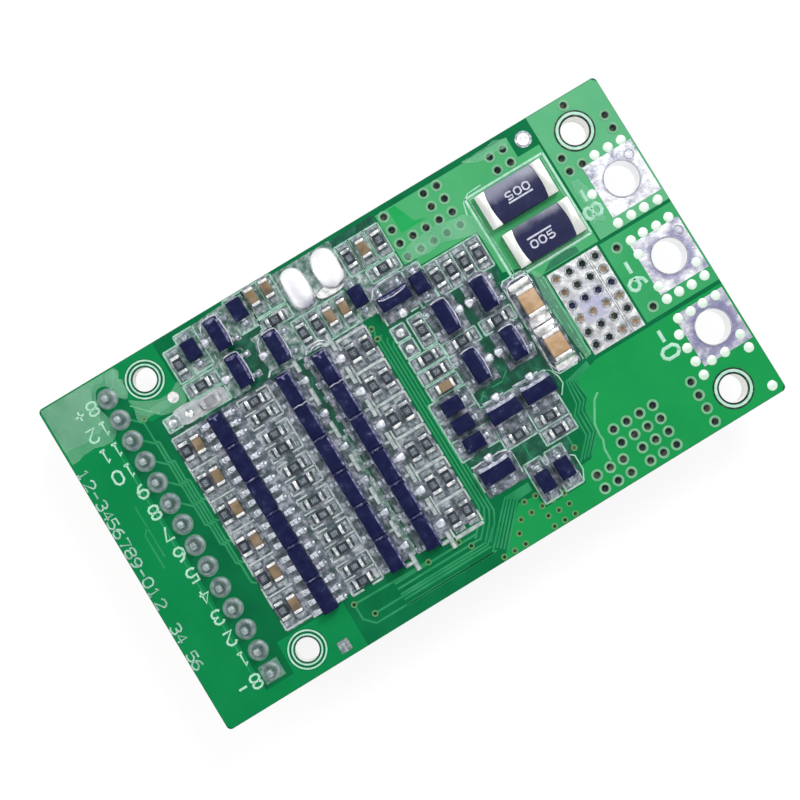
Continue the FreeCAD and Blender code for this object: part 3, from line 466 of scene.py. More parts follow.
    # Heap on the right wire land: whiter still, with fainter painted shade towards its lower end
    SOLDER_RIGHT = StainAndShade("heaped_solder_right_painted_shade",
        ((0.34, "#E9E9ED"), (0.5, "#F4F5F6"), (0.66, "#FAFBFC")), 1.6, metallic=1.0, roughness=0.35,
        relief_size=0.8, relief=0.02, centre=(-1.3, 10.9), inner=0.2, outer=1.3, stain_and_shade="#B9BAC4",
        ragged=0.8)
    # Lead under varnish: duller than a bare one
    LEAD_GLAZED = Finish("varnished_lead", ((0.34, "#6F7784"), (0.5, "#959CA8"), (0.66, "#C9CED8")),
        0.3, metallic=1.0, roughness=0.3, relief=0.006)
    # Painted highlight along a part's edge, where the varnish meniscus catches the light: a thin
    # white-lilac line
    HIGHLIGHT_WHITE = Finish("painted_white_highlight", ((0.36, "#A9A9C2"), (0.5, "#D3D5E1"), (0.64, "#FAFAFC")),
        0.5, roughness=0.25, specular=0.3)
    # The same painted highlight where it lies broad and soft beside a package
    HIGHLIGHT_SOFT = Finish("painted_soft_highlight", ((0.36, "#8B8DA8"), (0.5, "#B4B6C8"), (0.64, "#E2E3EB")),
        0.5, roughness=0.3, specular=0.2)
    # Wider, dimmer painted highlight over a part's edge: lilac-grey
    HIGHLIGHT_LILAC = Finish("painted_lilac_highlight", ((0.36, "#3A3B5E"), (0.5, "#62638A"), (0.66, "#9C9DB8")), 0.4,
        detail=4.0, roughness=0.25, specular=0.2)
    # The varnish that closes the gap between two packages: as dark as they are, with a painted lilac
    # glint
    BRIDGE = Finish("varnish_bridge_with_painted_glint",
        ((0.38, "#191B40"), (0.56, "#2A2C54"), (0.7, "#7475A0")), 0.35, roughness=0.25, specular=0.2)
    # Bare tinned lead: pale and bright
    LEAD = Finish("tin_plated_lead", ((0.3, "#A9AEBC"), (0.7, "#DDE1EA")), 0.5, metallic=1.0,
        roughness=0.25, relief=0.004)
    # Plated end of a chip resistor: mottled silver
    CHIP_END = Finish("plated_chip_end", ((0.36, "#848E92"), (0.48, "#BCC2C5"), (0.62, "#F2F3F0")),
        0.45, metallic=1.0, roughness=0.3, relief=0.01)
    # Plated end of a capacitor: paler and smoother
    CAPACITOR_END = Finish("plated_capacitor_end", ((0.34, "#BFC0C4"), (0.6, "#F5F4F2")), 0.4,
        metallic=1.0, roughness=0.3, relief=0.01)
    # Brushed resistance metal: warm grey, with lines along it
    SHUNT_METAL = Finish("satin_resistance_metal", ((0.34, "#BDBFBA"), (0.66, "#DADCD8")), 1.0,
        stretch=(1.0, 0.25, 1.0), metallic=1.0, roughness=0.4, relief=0.008)
    # Moulded epoxy: blue-black under varnish, with faint lilac patches, partly painted highlight
    EPOXY = Finish("moulded_epoxy_with_painted_highlights",
        ((0.34, "#171A40"), (0.56, "#1F2447"), (0.66, "#2D3358"), (0.74, "#5C6083")), 0.8, detail=4.0,
        roughness=0.4, specular=0.04, relief_size=0.5, relief=0.01)
    # Epoxy without varnish: matt near-black, on the underside
    EPOXY_PLAIN = Finish("matt_moulded_epoxy", ((0.3, "#1B1C1F"), (0.7, "#26272B")), 0.8, roughness=0.5,
        specular=0.2, relief_size=0.15, relief=0.01)
    # Moulding of the sensing resistors: blue-black, with the window's gleam in two bands
    SHUNT_COAT = Sheen("resistor_moulding", ((0.34, "#232548"), (0.6, "#2B2E52"), (0.8, "#3D4164")),
        1.6, roughness=0.3, specular=0.1, coat=0.1, coat_roughness=0.12, relief_size=0.6, relief=0.01,
        bands=((10.2, 11.4, 12.5), (6.9, 8.2, 8.3)))
    # Printed glass over a chip resistor: black, with a grey gleam on its top
    GLASS_BLACK = Finish("black_resistor_glass", ((0.3, "#222A33"), (0.7, "#39424A")), 0.6,
        roughness=0.25, specular=0.15)
    # Light on the same glass: a grey patch
    GLASS_GLEAM = Finish("gleaming_resistor_glass", ((0.35, "#37414A"), (0.65, "#5F6972")), 0.4,
        roughness=0.15, specular=0.3)
    # Printed numbers on the glass: light grey
    GLASS_MARK = Finish("resistor_marking", ((0.3, "#868D96"), (0.7, "#B4BAC2")), 0.3, roughness=0.4)
    # Fired ceramic: tan, a different warmth from part to part
    CERAMIC = Finish("tan_capacitor_ceramic", ((0.35, "#6A6152"), (0.5, "#8A7557"), (0.65, "#988470")),
        1.0, roughness=0.3, specular=0.2, relief=0.008)
    # Fired ceramic of the large capacitors: pale tan
    CERAMIC_PALE = Finish("pale_capacitor_ceramic", ((0.35, "#B7946F"), (0.65, "#D5B797")), 1.0,
        roughness=0.3, specular=0.2, relief=0.01)
    # Moulded nylon: warm white with a soft sheen
    NYLON = Finish("moulded_nylon", ((0.3, "#E3DFD0"), (0.7, "#EDEADD")), 2.0, roughness=0.45,
        relief_size=0.2, relief=0.006)

    def material(self) -> bpy.types.Material:
        """Return this finish's material, made at its first use."""
        return bpy.data.materials.get(self.value.name) or self.value.build()


# Shaping tools


def activate(piece: bpy.types.Object) -> None:
    """Select one object alone and make it active.

    Args:
        piece: The object.
    """
    bpy.ops.object.select_all(action="DESELECT")
    piece.select_set(True)
    bpy.context.view_layer.objects.active = piece


def close_up(piece: bpy.types.Object) -> None:
    """Merge doubled points and turn every face outwards.

    Args:
        piece: Mesh to mend.
    """
    activate(piece)
    bpy.ops.object.mode_set(mode="EDIT")
    bpy.ops.mesh.select_all(action="SELECT")
    bpy.ops.mesh.remove_doubles(threshold=MERGE)
    bpy.ops.mesh.normals_make_consistent(inside=False)
    bpy.ops.object.mode_set(mode="OBJECT")


def settle(piece: bpy.types.Object, surface: Surface, slot: str, *replaced: str) -> None:
    """Dress a finished piece and tie it to the frame.

    Args:
        piece: Finished mesh.
        surface: Its finish.
        slot: Material slot of the record that it stands for; not used.
        replaced: CAD nodes that it is shown in place of.
    """
    piece.data.materials.clear()
    piece.data.materials.append(surface.material())
    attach(piece, "root")
    if replaced:
        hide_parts(*replaced)
    log.info("%s: %d faces", piece.name, len(piece.data.polygons))


def new_curve(name: str, dimensions: str) -> bpy.types.Curve:
    """Make an empty curve.

    Args:
        name: Name of the curve.
        dimensions: "2D" or "3D".

    Returns:
        The curve.
    """
    curve = bpy.data.curves.new(name, "CURVE")
    curve.dimensions = dimensions
    return curve


def add_line(curve: bpy.types.Curve, points: Path, closed: bool) -> None:
    """Add straight runs to a curve.

    Args:
        curve: The curve.
        points: Points of the line in millimetres.
        closed: Whether it returns to its start.
    """
    line = curve.splines.new("POLY")
    line.points.add(len(points) - 1)
    for point, (x, y) in zip(line.points, points):
        point.co = (x * MM, y * MM, 0.0, 1.0)
    line.use_cyclic_u = closed


def curve_mesh(curve: bpy.types.Curve) -> bpy.types.Object:
    """Turn a curve to a mesh object of the same name.

    Args:
        curve: Finished curve.

    Returns:
        The mesh object.
    """
    piece = bpy.data.objects.new(curve.name, curve)
    bpy.context.collection.objects.link(piece)
    activate(piece)
    bpy.ops.object.convert(target="MESH")
    return bpy.context.view_layer.objects.active


def sheet(name: str, outlines: list[Path], bottom: float, top: float, surface: Surface,
          slot: str = "solder_mask") -> None:
    """Make a thin plate from closed outlines and dress it; one outline inside another is a hole.

    Args:
        name: Name of the piece.
        outlines: Closed outlines in millimetres.
        bottom: Level of the lower face.
        top: Level of the upper face.
        surface: Its finish.
        slot: Material slot of the record.
    """
    curve = new_curve(name, "2D")
    curve.fill_mode = "BOTH"
    curve.extrude = (top - bottom) / 2 * MM
    for outline in outlines:
        add_line(curve, outline, True)
    piece = curve_mesh(curve)
    piece.data.transform(Matrix.Translation((0, 0, (top + bottom) / 2 * MM)))
    close_up(piece)
    settle(piece, surface, slot)


def strokes(name: str, paths: list[Path], width: float, height: float, surface: Surface,
            level: float = TOP, slot: str = "solder_mask") -> None:
    """Lay low, round-backed lines on a face, as ink or a masked track lies, and dress them.

    Args:
        name: Name of the piece.
        paths: Lines through points in millimetres.
        width: Width of each line.
        height: How far its back stands over the level.
        surface: Finish of the lines.
        level: Level of the face.
        slot: Material slot of the record.
    """
    curve = new_curve(name, "3D")
    curve.bevel_depth = width / 2 * MM
    curve.bevel_resolution = 1
    curve.use_fill_caps = True
    for path in paths:
        add_line(curve, path, False)
    piece = curve_mesh(curve)
    lift = Matrix.Translation((0, 0, level * MM))
    piece.data.transform(lift @ Matrix.Diagonal((1, 1, height / (width / 2), 1)))
    close_up(piece)
    bpy.ops.object.shade_smooth_by_angle(angle=math.radians(50))
    settle(piece, surface, slot)


def circle(x: float, y: float, radius: float, sides: int = 24) -> Path:
    """Return the corners of a many-sided circle."""
    angles = [2 * math.pi * side / sides for side in range(sides)]
    return [(x + radius * math.cos(angle), y + radius * math.sin(angle)) for angle in angles]


def rings_at(places: list[Point], *rims: tuple[float, int]) -> list[Path]:
    """Return circles round every place, each rim given by its radius and number of sides."""
    return [circle(x, y, radius, sides) for x, y in places for radius, sides in rims]


def kept_on(outline: Path) -> Path:
    """Return an outline held back from the board's long edges."""
    return [(x, max(-EDGE_REACH, min(EDGE_REACH, y))) for x, y in outline]


def rectangle(x0: float, x1: float, y0: float, y1: float) -> Path:
    """Return the corners of a rectangle."""
    return [(x0, y0), (x1, y0), (x1, y1), (x0, y1)]


def inside(point: Point, outline: Path) -> bool:
    """Say whether a point lies inside an outline.

    Args:
        point: The point.
        outline: Closed outline.

    Returns:
        Whether it lies inside.
    """
    x, y = point
    found = False
    for (x0, y0), (x1, y1) in zip(outline, outline[1:] + outline[:1]):
        if (y0 > y) != (y1 > y) and x < (x1 - x0) * (y - y0) / (y1 - y0) + x0:
            found = not found
    return found


def repeat(prototype: bpy.types.Object, name: str, places: list[Matrix], surface: Surface,
           slot: str, *replaced: str) -> None:
    """Copy a prototype to every place, each copy with its own mesh, join the copies and dress them.

    Args:
        prototype: Mesh modelled about the origin; it is removed.
        name: Name of the joined piece.
        places: Where each copy goes.
        surface: Its finish.
        slot: Material slot of the record.
        replaced: CAD nodes that it is shown in place of.
    """
    copies = []
    for place in places:
        copy = prototype.copy()
        copy.data = prototype.data.copy()
        copy.data.transform(place)
        bpy.context.collection.objects.link(copy)
        copies.append(copy)
    bpy.data.objects.remove(prototype)
    activate(copies[0])
    for copy in copies:
        copy.select_set(True)
    bpy.ops.object.join()
    copies[0].name = name
    copies[0].data.name = name
    settle(copies[0], surface, slot, *replaced)


def place_at(x: float, y: float, z: float = TOP, degrees: float = 0.0,
             scale: tuple[float, float, float] = (1.0, 1.0, 1.0)) -> Matrix:
    """Return the matrix that scales, turns about Z and moves, all in millimetres."""
    return (Matrix.Translation((x * MM, y * MM, z * MM)) @ Matrix.Rotation(math.radians(degrees), 4, "Z")
            @ Matrix.Diagonal((*scale, 1)))


def turned(name: str, profile: Sequence[Point], sides: int) -> bpy.types.Object:
    """Raise a round piece ring by ring from a filled circle.

    Args:
        name: Name of the piece.
        profile: Radius and level of each ring in millimetres, from the bottom.
        sides: Corners of each ring.

    Returns:
        The piece about the origin.
    """
    radius, level = profile[0]
    bpy.ops.object.select_all(action="DESELECT")
    bpy.ops.mesh.primitive_circle_add(vertices=sides, radius=radius * MM, fill_type="NGON",
                                      location=(0, 0, level * MM))
    piece = bpy.context.active_object
    piece.name = name
    bpy.ops.object.transform_apply(location=True)
    bpy.ops.object.mode_set(mode="EDIT")
    bpy.ops.mesh.select_all(action="SELECT")
    for next_radius, next_level in profile[1:]:
        rise = (next_level - level) * MM
        bpy.ops.mesh.extrude_region_move(TRANSFORM_OT_translate={"value": (0, 0, rise)})
        ratio = next_radius / radius
        bpy.ops.transform.resize(value=(ratio, ratio, 1), center_override=(0, 0, next_level * MM))
        radius, level = next_radius, next_level
    bpy.ops.object.mode_set(mode="OBJECT")
    close_up(piece)
    bpy.ops.object.shade_smooth_by_angle(angle=math.radians(60))
    return piece


@dataclass
class Island:
    """One solid of a CAD node: its box in millimetres."""

    low: Vector
    high: Vector

    @property
    def centre(self) -> Vector:
        """Middle of the box."""
        return (self.low + self.high) / 2

    @property
    def size(self) -> Vector:
        """Sides of the box."""
        return self.high - self.low

    @property
    def along_x(self) -> bool:
        """Whether the box is longer along X than along Y."""
        return self.size.x > self.size.y


@dataclass
class Frame:
    """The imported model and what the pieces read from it."""

    nodes: dict[str, bpy.types.Object]

    def islands(self, node: str) -> list[Island]:
        """Find the separate solids of a node.

        Args:
            node: Name of the CAD node.

        Returns:
            One box for each solid, ordered by place.
        """
        mesh = self.nodes[node].data
        points = np.empty(len(mesh.vertices) * 3)
        mesh.vertices.foreach_get("co", points)
        points = points.reshape(-1, 3) / MM
        _, merged = np.unique(points.round(4), axis=0, return_inverse=True)
        merged = merged.reshape(-1)
        owner = list(range(int(merged.max()) + 1))

        def root(index: int) -> int:
            """Follow owners to the first point of a solid.

            Args:
                index: A point.

            Returns:
                The first point that owns it.
            """
            while owner[index] != index:
                owner[index] = owner[owner[index]]
                index = owner[index]
            return index

        for polygon in mesh.polygons:
            first, *others = (int(merged[vertex]) for vertex in polygon.vertices)
            for other in others:
                owner[root(other)] = root(first)
        labels = np.array([root(int(index)) for index in merged])
        found = []
        for label in np.unique(labels):
            own = points[labels == label]
            found.append(Island(Vector(own.min(axis=0)), Vector(own.max(axis=0))))
        found.sort(key=lambda item: [round(place, 2) for place in item.centre])
        return found

    def dress(self, node: str, surface: Surface) -> None:
        """Give a carried-over CAD node its finish."""
        for slot in self.nodes[node].material_slots:
            slot.material = surface.material()

    def eased(self, node: str, surface: Surface, slot: str, width: float) -> None:
        """Show a copy of a CAD node with its sharp edges rounded.

        Args:
            node: CAD node that the copy stands for.
            surface: Finish of the copy.
            slot: Material slot of the record.
            width: Width of the rounding in millimetres.
        """
        piece = bpy.data.objects.new(f"eased_{node}", self.nodes[node].data.copy())
        bpy.context.collection.objects.link(piece)
        activate(piece)
        bpy.ops.object.mode_set(mode="EDIT")
        bpy.ops.mesh.select_all(action="SELECT")
        bpy.ops.mesh.remove_doubles(threshold=MERGE)
        bpy.ops.mesh.dissolve_limited(angle_limit=math.radians(1))
        bpy.ops.object.mode_set(mode="OBJECT")
        bevel = piece.modifiers.new("rounding", "BEVEL")
        bevel.width = width * MM
        bevel.segments = 2
        bevel.limit_method = "ANGLE"
        bevel.angle_limit = math.radians(35)
        bpy.ops.object.modifier_apply(modifier=bevel.name)
        bpy.ops.object.shade_smooth_by_angle(angle=math.radians(40))
        settle(piece, surface, slot, node)


# Marks


GLYPHS: dict[str, list[Path]] = {
    "0": [[(0.3, 0), (0.7, 0), (1, 0.22), (1, 0.78), (0.7, 1), (0.3, 1), (0, 0.78), (0, 0.22), (0.3, 0)]],
    "1": [[(0.2, 0.78), (0.5, 1), (0.5, 0)], [(0.2, 0), (0.8, 0)]],
    "2": [[(0, 0.78), (0.25, 1), (0.75, 1), (1, 0.8), (1, 0.62), (0, 0), (1, 0)]],
    "3": [[(0, 0.85), (0.25, 1), (0.75, 1), (1, 0.82), (1, 0.66), (0.75, 0.52), (0.4, 0.52)],
          [(0.75, 0.52), (1, 0.36), (1, 0.18), (0.75, 0), (0.25, 0), (0, 0.15)]],
    "4": [[(0.72, 0), (0.72, 1), (0, 0.32), (1, 0.32)]],
    "5": [[(0.95, 1), (0.1, 1), (0.05, 0.56), (0.7, 0.6), (1, 0.42), (1, 0.18), (0.72, 0), (0.25, 0),
           (0, 0.14)]],
    "6": [[(0.85, 1), (0.35, 0.9), (0.05, 0.6), (0, 0.25), (0.28, 0), (0.72, 0), (1, 0.2), (1, 0.38),
           (0.72, 0.58), (0.3, 0.58), (0.03, 0.4)]],
    "7": [[(0, 1), (1, 1), (0.4, 0)]],
    "8": [[(0.27, 0.53), (0, 0.68), (0, 0.86), (0.27, 1), (0.73, 1), (1, 0.86), (1, 0.68), (0.73, 0.53),
           (0.27, 0.53), (0, 0.36), (0, 0.16), (0.27, 0), (0.73, 0), (1, 0.16), (1, 0.36), (0.73, 0.53)]],
    "9": [[(0.15, 0), (0.65, 0.1), (0.95, 0.4), (1, 0.75), (0.72, 1), (0.28, 1), (0, 0.8), (0, 0.62),
           (0.28, 0.42), (0.7, 0.42), (0.97, 0.6)]],
    "+": [[(0.5, 0), (0.5, 1)], [(0, 0.5), (1, 0.5)]],
    "-": [[(0.05, 0.5), (0.95, 0.5)]],
}


def glyph(mark: str, x: float, y: float, width: float, height: float, degrees: float = 0.0) -> list[Path]:
    """Place the lines of a number or sign about its middle.

    Args:
        mark: The number or sign.
        x: Middle along X in millimetres.
        y: Middle along Y.
        width: Width before turning.
        height: Height before turning.
        degrees: Turn about the middle.

    Returns:
        Lines in board millimetres.
    """
    cosine, sine = math.cos(math.radians(degrees)), math.sin(math.radians(degrees))
    placed = []
    for line in GLYPHS[mark]:
        local = [((px - 0.5) * width, (py - 0.5) * height) for px, py in line]
        placed.append([(x + px * cosine - py * sine, y + px * sine + py * cosine) for px, py in local])
    return placed


def frame_lines(x0: float, x1: float, y0: float, y1: float) -> list[Path]:
    """Return the four sides of a printed box as separate lines."""
    return [[(x0, y0), (x1, y0)], [(x0, y1), (x1, y1)], [(x0, y0), (x0, y1)], [(x1, y0), (x1, y1)]]


# Places read from the board's layout

CELLS = 6
CELL_PITCH = 3.16
CELL_FIRST = 6.0
CELL_GAP = 0.26
VIA_PITCH = 1.27
VIA_BLOCKS: list[tuple[float, float, int, int]] = [
    (5.75, 10.4, 5, 2), (5.75, 12.97, 1, 2), (9.58, 12.95, 2, 2), (15.87, 12.7, 2, 2),
    (12.82, -11.9, 4, 2),
    (14.09, -14.42, 3, 2), (9.68, -14.42, 3, 2), (20.35, -14.45, 1, 4), (20.95, 9.5, 1, 2),
    (22.2, 9.5, 1, 1),
    (23.4, 14.5, 1, 1), (25.95, 10.75, 1, 2), (20.95, 2.03, 1, 1), (20.98, -3.68, 1, 1)]
FIELD_VIAS: list[Point] = [(17.18 + (column - 1.5) * VIA_PITCH, -0.78 + (row - 2.5) * VIA_PITCH)
                           for column in range(4) for row in range(6)]
SMALL_VIAS: list[Point] = [
    (0.05, 6.8), (0.05, 5.85), (9.25, -10.25), (3.4, -11.9), (4.45, -11.95), (2.4, -13), (3.45, -12.95),
    (4.5, -12.95), (5.5, -12.95), (6.55, -13), (1.7, -13.9), (4.5, -13.9), (5.5, -13.95), (6.5, -13.95),
    (-19.75, 10.15), (-12.9, -11.8), (-11.8, -13.3), (-5.9, -12.0), (-2.95, -11.9), (-2.2, -12.7),
    (-0.35, -14.9), (0.65, -14.9), (1.7, -14.9), (4.5, -14.9), (5.5, -14.9), (6.5, -14.9)]
WHITE_DOMES: list[Point] = [
    (23.45, 9.6), (24.75, 9.6), (26.0, 9.55), (21.55, 6.9), (22.15, 3.75), (23.45, 3.75), (24.7, 3.75),
    (26.0, 3.7), (22.3, 1.95), (23.5, 2.0), (24.75, 1.9), (26.0, 2.0), (22.25, 0.65), (22.25, -2.5),
    (26.0, -2.4), (22.3, -3.75), (23.5, -3.75), (24.7, -3.8), (26.0, -3.7), (22.25, -5.6), (23.45, -5.65),
    (24.65, -5.6), (25.9, -5.6), (21.6, -6.8), (21.6, -8.1), (21.6, -9.4), (21.6, -10.7), (22.8, -10.0),
    (24.1, -10.0), (25.95, -9.4), (26.0, -10.7), (26.0, -14.4)]
LAND_RINGS: list[Point] = [(25.95, 8.2), (26.1, 0.65)]
LEFT_SCREWS: list[Point] = [(-18.05, 12.92), (-18.05, -12.92)]
RIGHT_SCREWS: list[Point] = [(23.1, 12.18), (23.1, -12.92)]
POWER_HOLES: list[Point] = [(24.35, 6.75), (24.35, -0.78), (24.35, -7.7)]
PINS: list[Point] = [(-21.48, 13.12 - 2 * pin) for pin in range(14)]


def open_vias() -> list[Point]:
    """Return every open via outside the tinned field."""
    return [(x + column * VIA_PITCH, y + row * VIA_PITCH)
            for x, y, columns, rows in VIA_BLOCKS for column in range(columns) for row in range(rows)]


@dataclass
class Copper:
    """Masked copper on the top face: wide pours and narrow tracks."""

    frame: Frame
    pour_top: float = TOP + 0.03
    pours: tuple[tuple[str, Surface, float, list[Path]], ...] = (
        ("left_pour", Surface.POUR_LEFT, 0.0, [
            [(-26.5, 15.2), (-22.6, 15.2), (-22.6, -14.0), (-20.0, -14.0), (-19.9, -11.12),
             (-13.6, -11.12),
             (-13.6, -15.2), (-26.5, -15.2), (-26.86, -14.8), (-26.86, 14.8)],
            [(-22.4, 15.2), (-16.0, 15.2), (-16.0, 9.6), (-19.4, 9.6), (-20.1, 11.1), (-20.3, 14.2),
             (-22.4, 14.2)]]),
        ("low_pour", Surface.POUR_LOW, 0.0, [
            [(26.86, -4.95), (14.6, -4.95), (14.2, -5.1), (12.35, -5.5), (12.25, -7.55), (11.6, -8.2),
             (11.5, -10.1), (9.95, -11.75), (8.75, -11.8), (8.6, -13.2), (4.6, -13.2), (4.6, -11.95),
             (2.9, -11.75), (-0.6, -15.2), (26.5, -15.2), (26.86, -14.8)]]),
        ("high_pour", Surface.POUR_HIGH, 0.0, [
            [(5.15, 14.7), (5.15, 9.95), (6.25, 9.85), (6.25, 9.25), (11.75, 9.2), (11.75, 5.2),
             (13.6, 4.6),
             (13.6, 3.3), (19.95, 3.3), (19.95, 12.75), (17.9, 12.75), (17.9, 14.7)]]),
        ("end_pour", Surface.POUR_EDGE, 0.0, [
            [(20.15, 15.2), (20.15, 3.3), (26.86, 3.3), (26.86, 14.8), (26.5, 15.2)]]),
        ("land_pour", Surface.POUR_LAND, 0.0, [
            [(19.85, 3.0), (26.86, 3.0), (26.86, -4.6), (19.85, -4.6)]]),
        ("vivid_pour", Surface.POUR_VIVID, 0.01, [
            [(6.35, 14.6), (7.0, 14.6), (7.75, 12.7), (8.8, 12.35), (6.35, 12.35)]]),
        ("fine_pour", Surface.POUR_FINE, -0.01, [
            [(-0.2, 7.5), (1.15, 7.5), (1.1, -10.35), (4.75, -10.35), (4.75, -11.9), (2.9, -11.7),
             (-0.7, -15.1),
             (-4.2, -15.1), (-2.2, -13.1), (-0.2, -11.1)],
            [(10.6, -4.7), (14.3, -4.8), (12.5, -5.4), (12.4, -7.5), (11.7, -8.2), (11.6, -10.0),
             (10.0, -11.7),
             (8.8, -11.9), (9.1, -9.4), (10.45, -9.2), (10.6, -6.2)]]),
        ("shade_pour", Surface.POUR_SHADE, 0.01, [
            [(14.7, 3.38), (18.15, 3.38), (18.1, 3.9), (17.2, 4.1), (15.6, 3.95)]]))

    def openings(self) -> list[tuple[float, float, float]]:
        """Find everything that a pour stays clear of.

        Returns:
            Place and radius of each opening.
        """
        holes = [(x, y, 0.36) for x, y in open_vias() + FIELD_VIAS]
        holes += [(x, y, 1.72) for x, y in LEFT_SCREWS + RIGHT_SCREWS]
        return holes + [(x, y, 1.75) for x, y in POWER_HOLES]

    def pour(self, name: str, outlines: list[Path], surface: Surface, top: float) -> None:
        """Make one pour, open at every hole that lies wholly inside it.

        Args:
            name: Name of the piece.
            outlines: Edges of the copper.
            surface: Finish of the mask over it.
            top: Level of its face.
        """
        loops = list(outlines)
        for x, y, radius in self.openings():
            rim = circle(x, y, radius, 20)
            if any(all(inside(point, outline) for point in rim) for outline in outlines):
                loops.append(rim)
        sheet(name, loops, TOP, top, surface)

    def tracks(self) -> None:
        """Lay the narrow tracks, which show as lighter lines under the mask."""
        paths: list[Path] = []
        fine: list[Path] = []
        for lane in range(4):
            x, top, low = 0.3 * lane, 6.2 - 0.5 * lane, -10.3 - 0.3 * lane
            fine.append([(x - 1.6, low - 2.1), (x - 0.5, low - 0.9), (x, low), (x, top),
                         (x + 0.2, top + 0.3)])
        for step in range(5):
            fine.append([(-0.7 + 0.22 * step, -13.75 - 0.2 * step),
                         (2.2 + 0.2 * step, -10.8 - 0.16 * step),
                         (4.5, -10.75 - 0.15 * step)])
            paths.append([(-9.2, -12.1 - 0.5 * step), (-1.4 + 0.2 * step, -12.1 - 0.5 * step)])
        for pin in range(1, 6):
            y = PINS[pin][1]
            run: Path = [(-20.75, y - 0.45)]
            for lane in range(4):
                x = -19.95 + 0.27 * lane
                run += [(x, y - 1.25 - 2 * lane), (x, y - 2.98 - 2 * lane)]
            paths.append(run + [(-18.75, y - 9.3)])
        for step in range(4):
            shift = 0.36 * step
            fine.append([(13.9, -4.75 - 0.12 * step), (11.55 + shift * 0.6, -5.25 - 0.1 * step),
                          (11.3 + shift, -7.3), (10.7 + shift, -7.95), (10.65 + shift, -9.9),
                          (9.1 + shift, -11.5)])
        paths += [[(-12.9, -11.8), (-6.0, -11.95)], [(-11.8, -13.3), (-1.0, -13.35), (0.1, -12.3)],
                  [(-12.9, -12.0), (-12.9, -13.2), (-12.1, -14.05), (-1.0, -14.1), (0.6, -12.5)],
                  [(4.7, -2.95), (5.2, -2.45), (7.0, -2.5), (7.8, -1.9)], [(5.8, -7.9), (5.75, -9.1)],
                  [(9.25, -9.0), (9.25, -10.1)], [(-24.1, 2.4), (-24.6, 1.9), (-24.6, -1.2)],
                  [(-24.1, 4.3), (-24.1, -0.4)], [(-22.95, 12.0), (-22.95, -12.2)]]
        strokes("masked_tracks", paths, 0.2, 0.05, Surface.TRACK)
        strokes("fine_tracks", fine, 0.2, 0.055, Surface.TRACK)
        scratch = [[(13.3, -7.35), (12.75, -7.75), (12.3, -8.5), (11.75, -9.4), (11.6, -10.4),
                    (11.65, -10.9),
                    (11.35, -11.6), (11.3, -12.7)]]
        streaks = [[(-20.9, 13.6), (-20.3, 14.2), (-19.9, 15.0)],
                   [(-20.2, 11.7), (-19.3, 10.7), (-18.4, 9.9)],
                   [(13.75, 3.2), (13.75, -4.4)], [(14.15, 3.1), (14.15, -4.3)],
                   [(14.45, 3.2), (14.45, -4.4)]]
        strokes("pale_scratch", scratch, 0.26, 0.06, Surface.TRACK_PALE)
        strokes("pale_streaks", streaks, 0.16, 0.045, Surface.TRACK_PALE)

    def build(self) -> None:
        """Make every masked layer of the top face."""
        self.frame.dress("circuit_board", Surface.BARE_MASK)
        for name, surface, lift, outlines in self.pours:
            self.pour(name, outlines, surface, self.pour_top + lift)
        self.tracks()


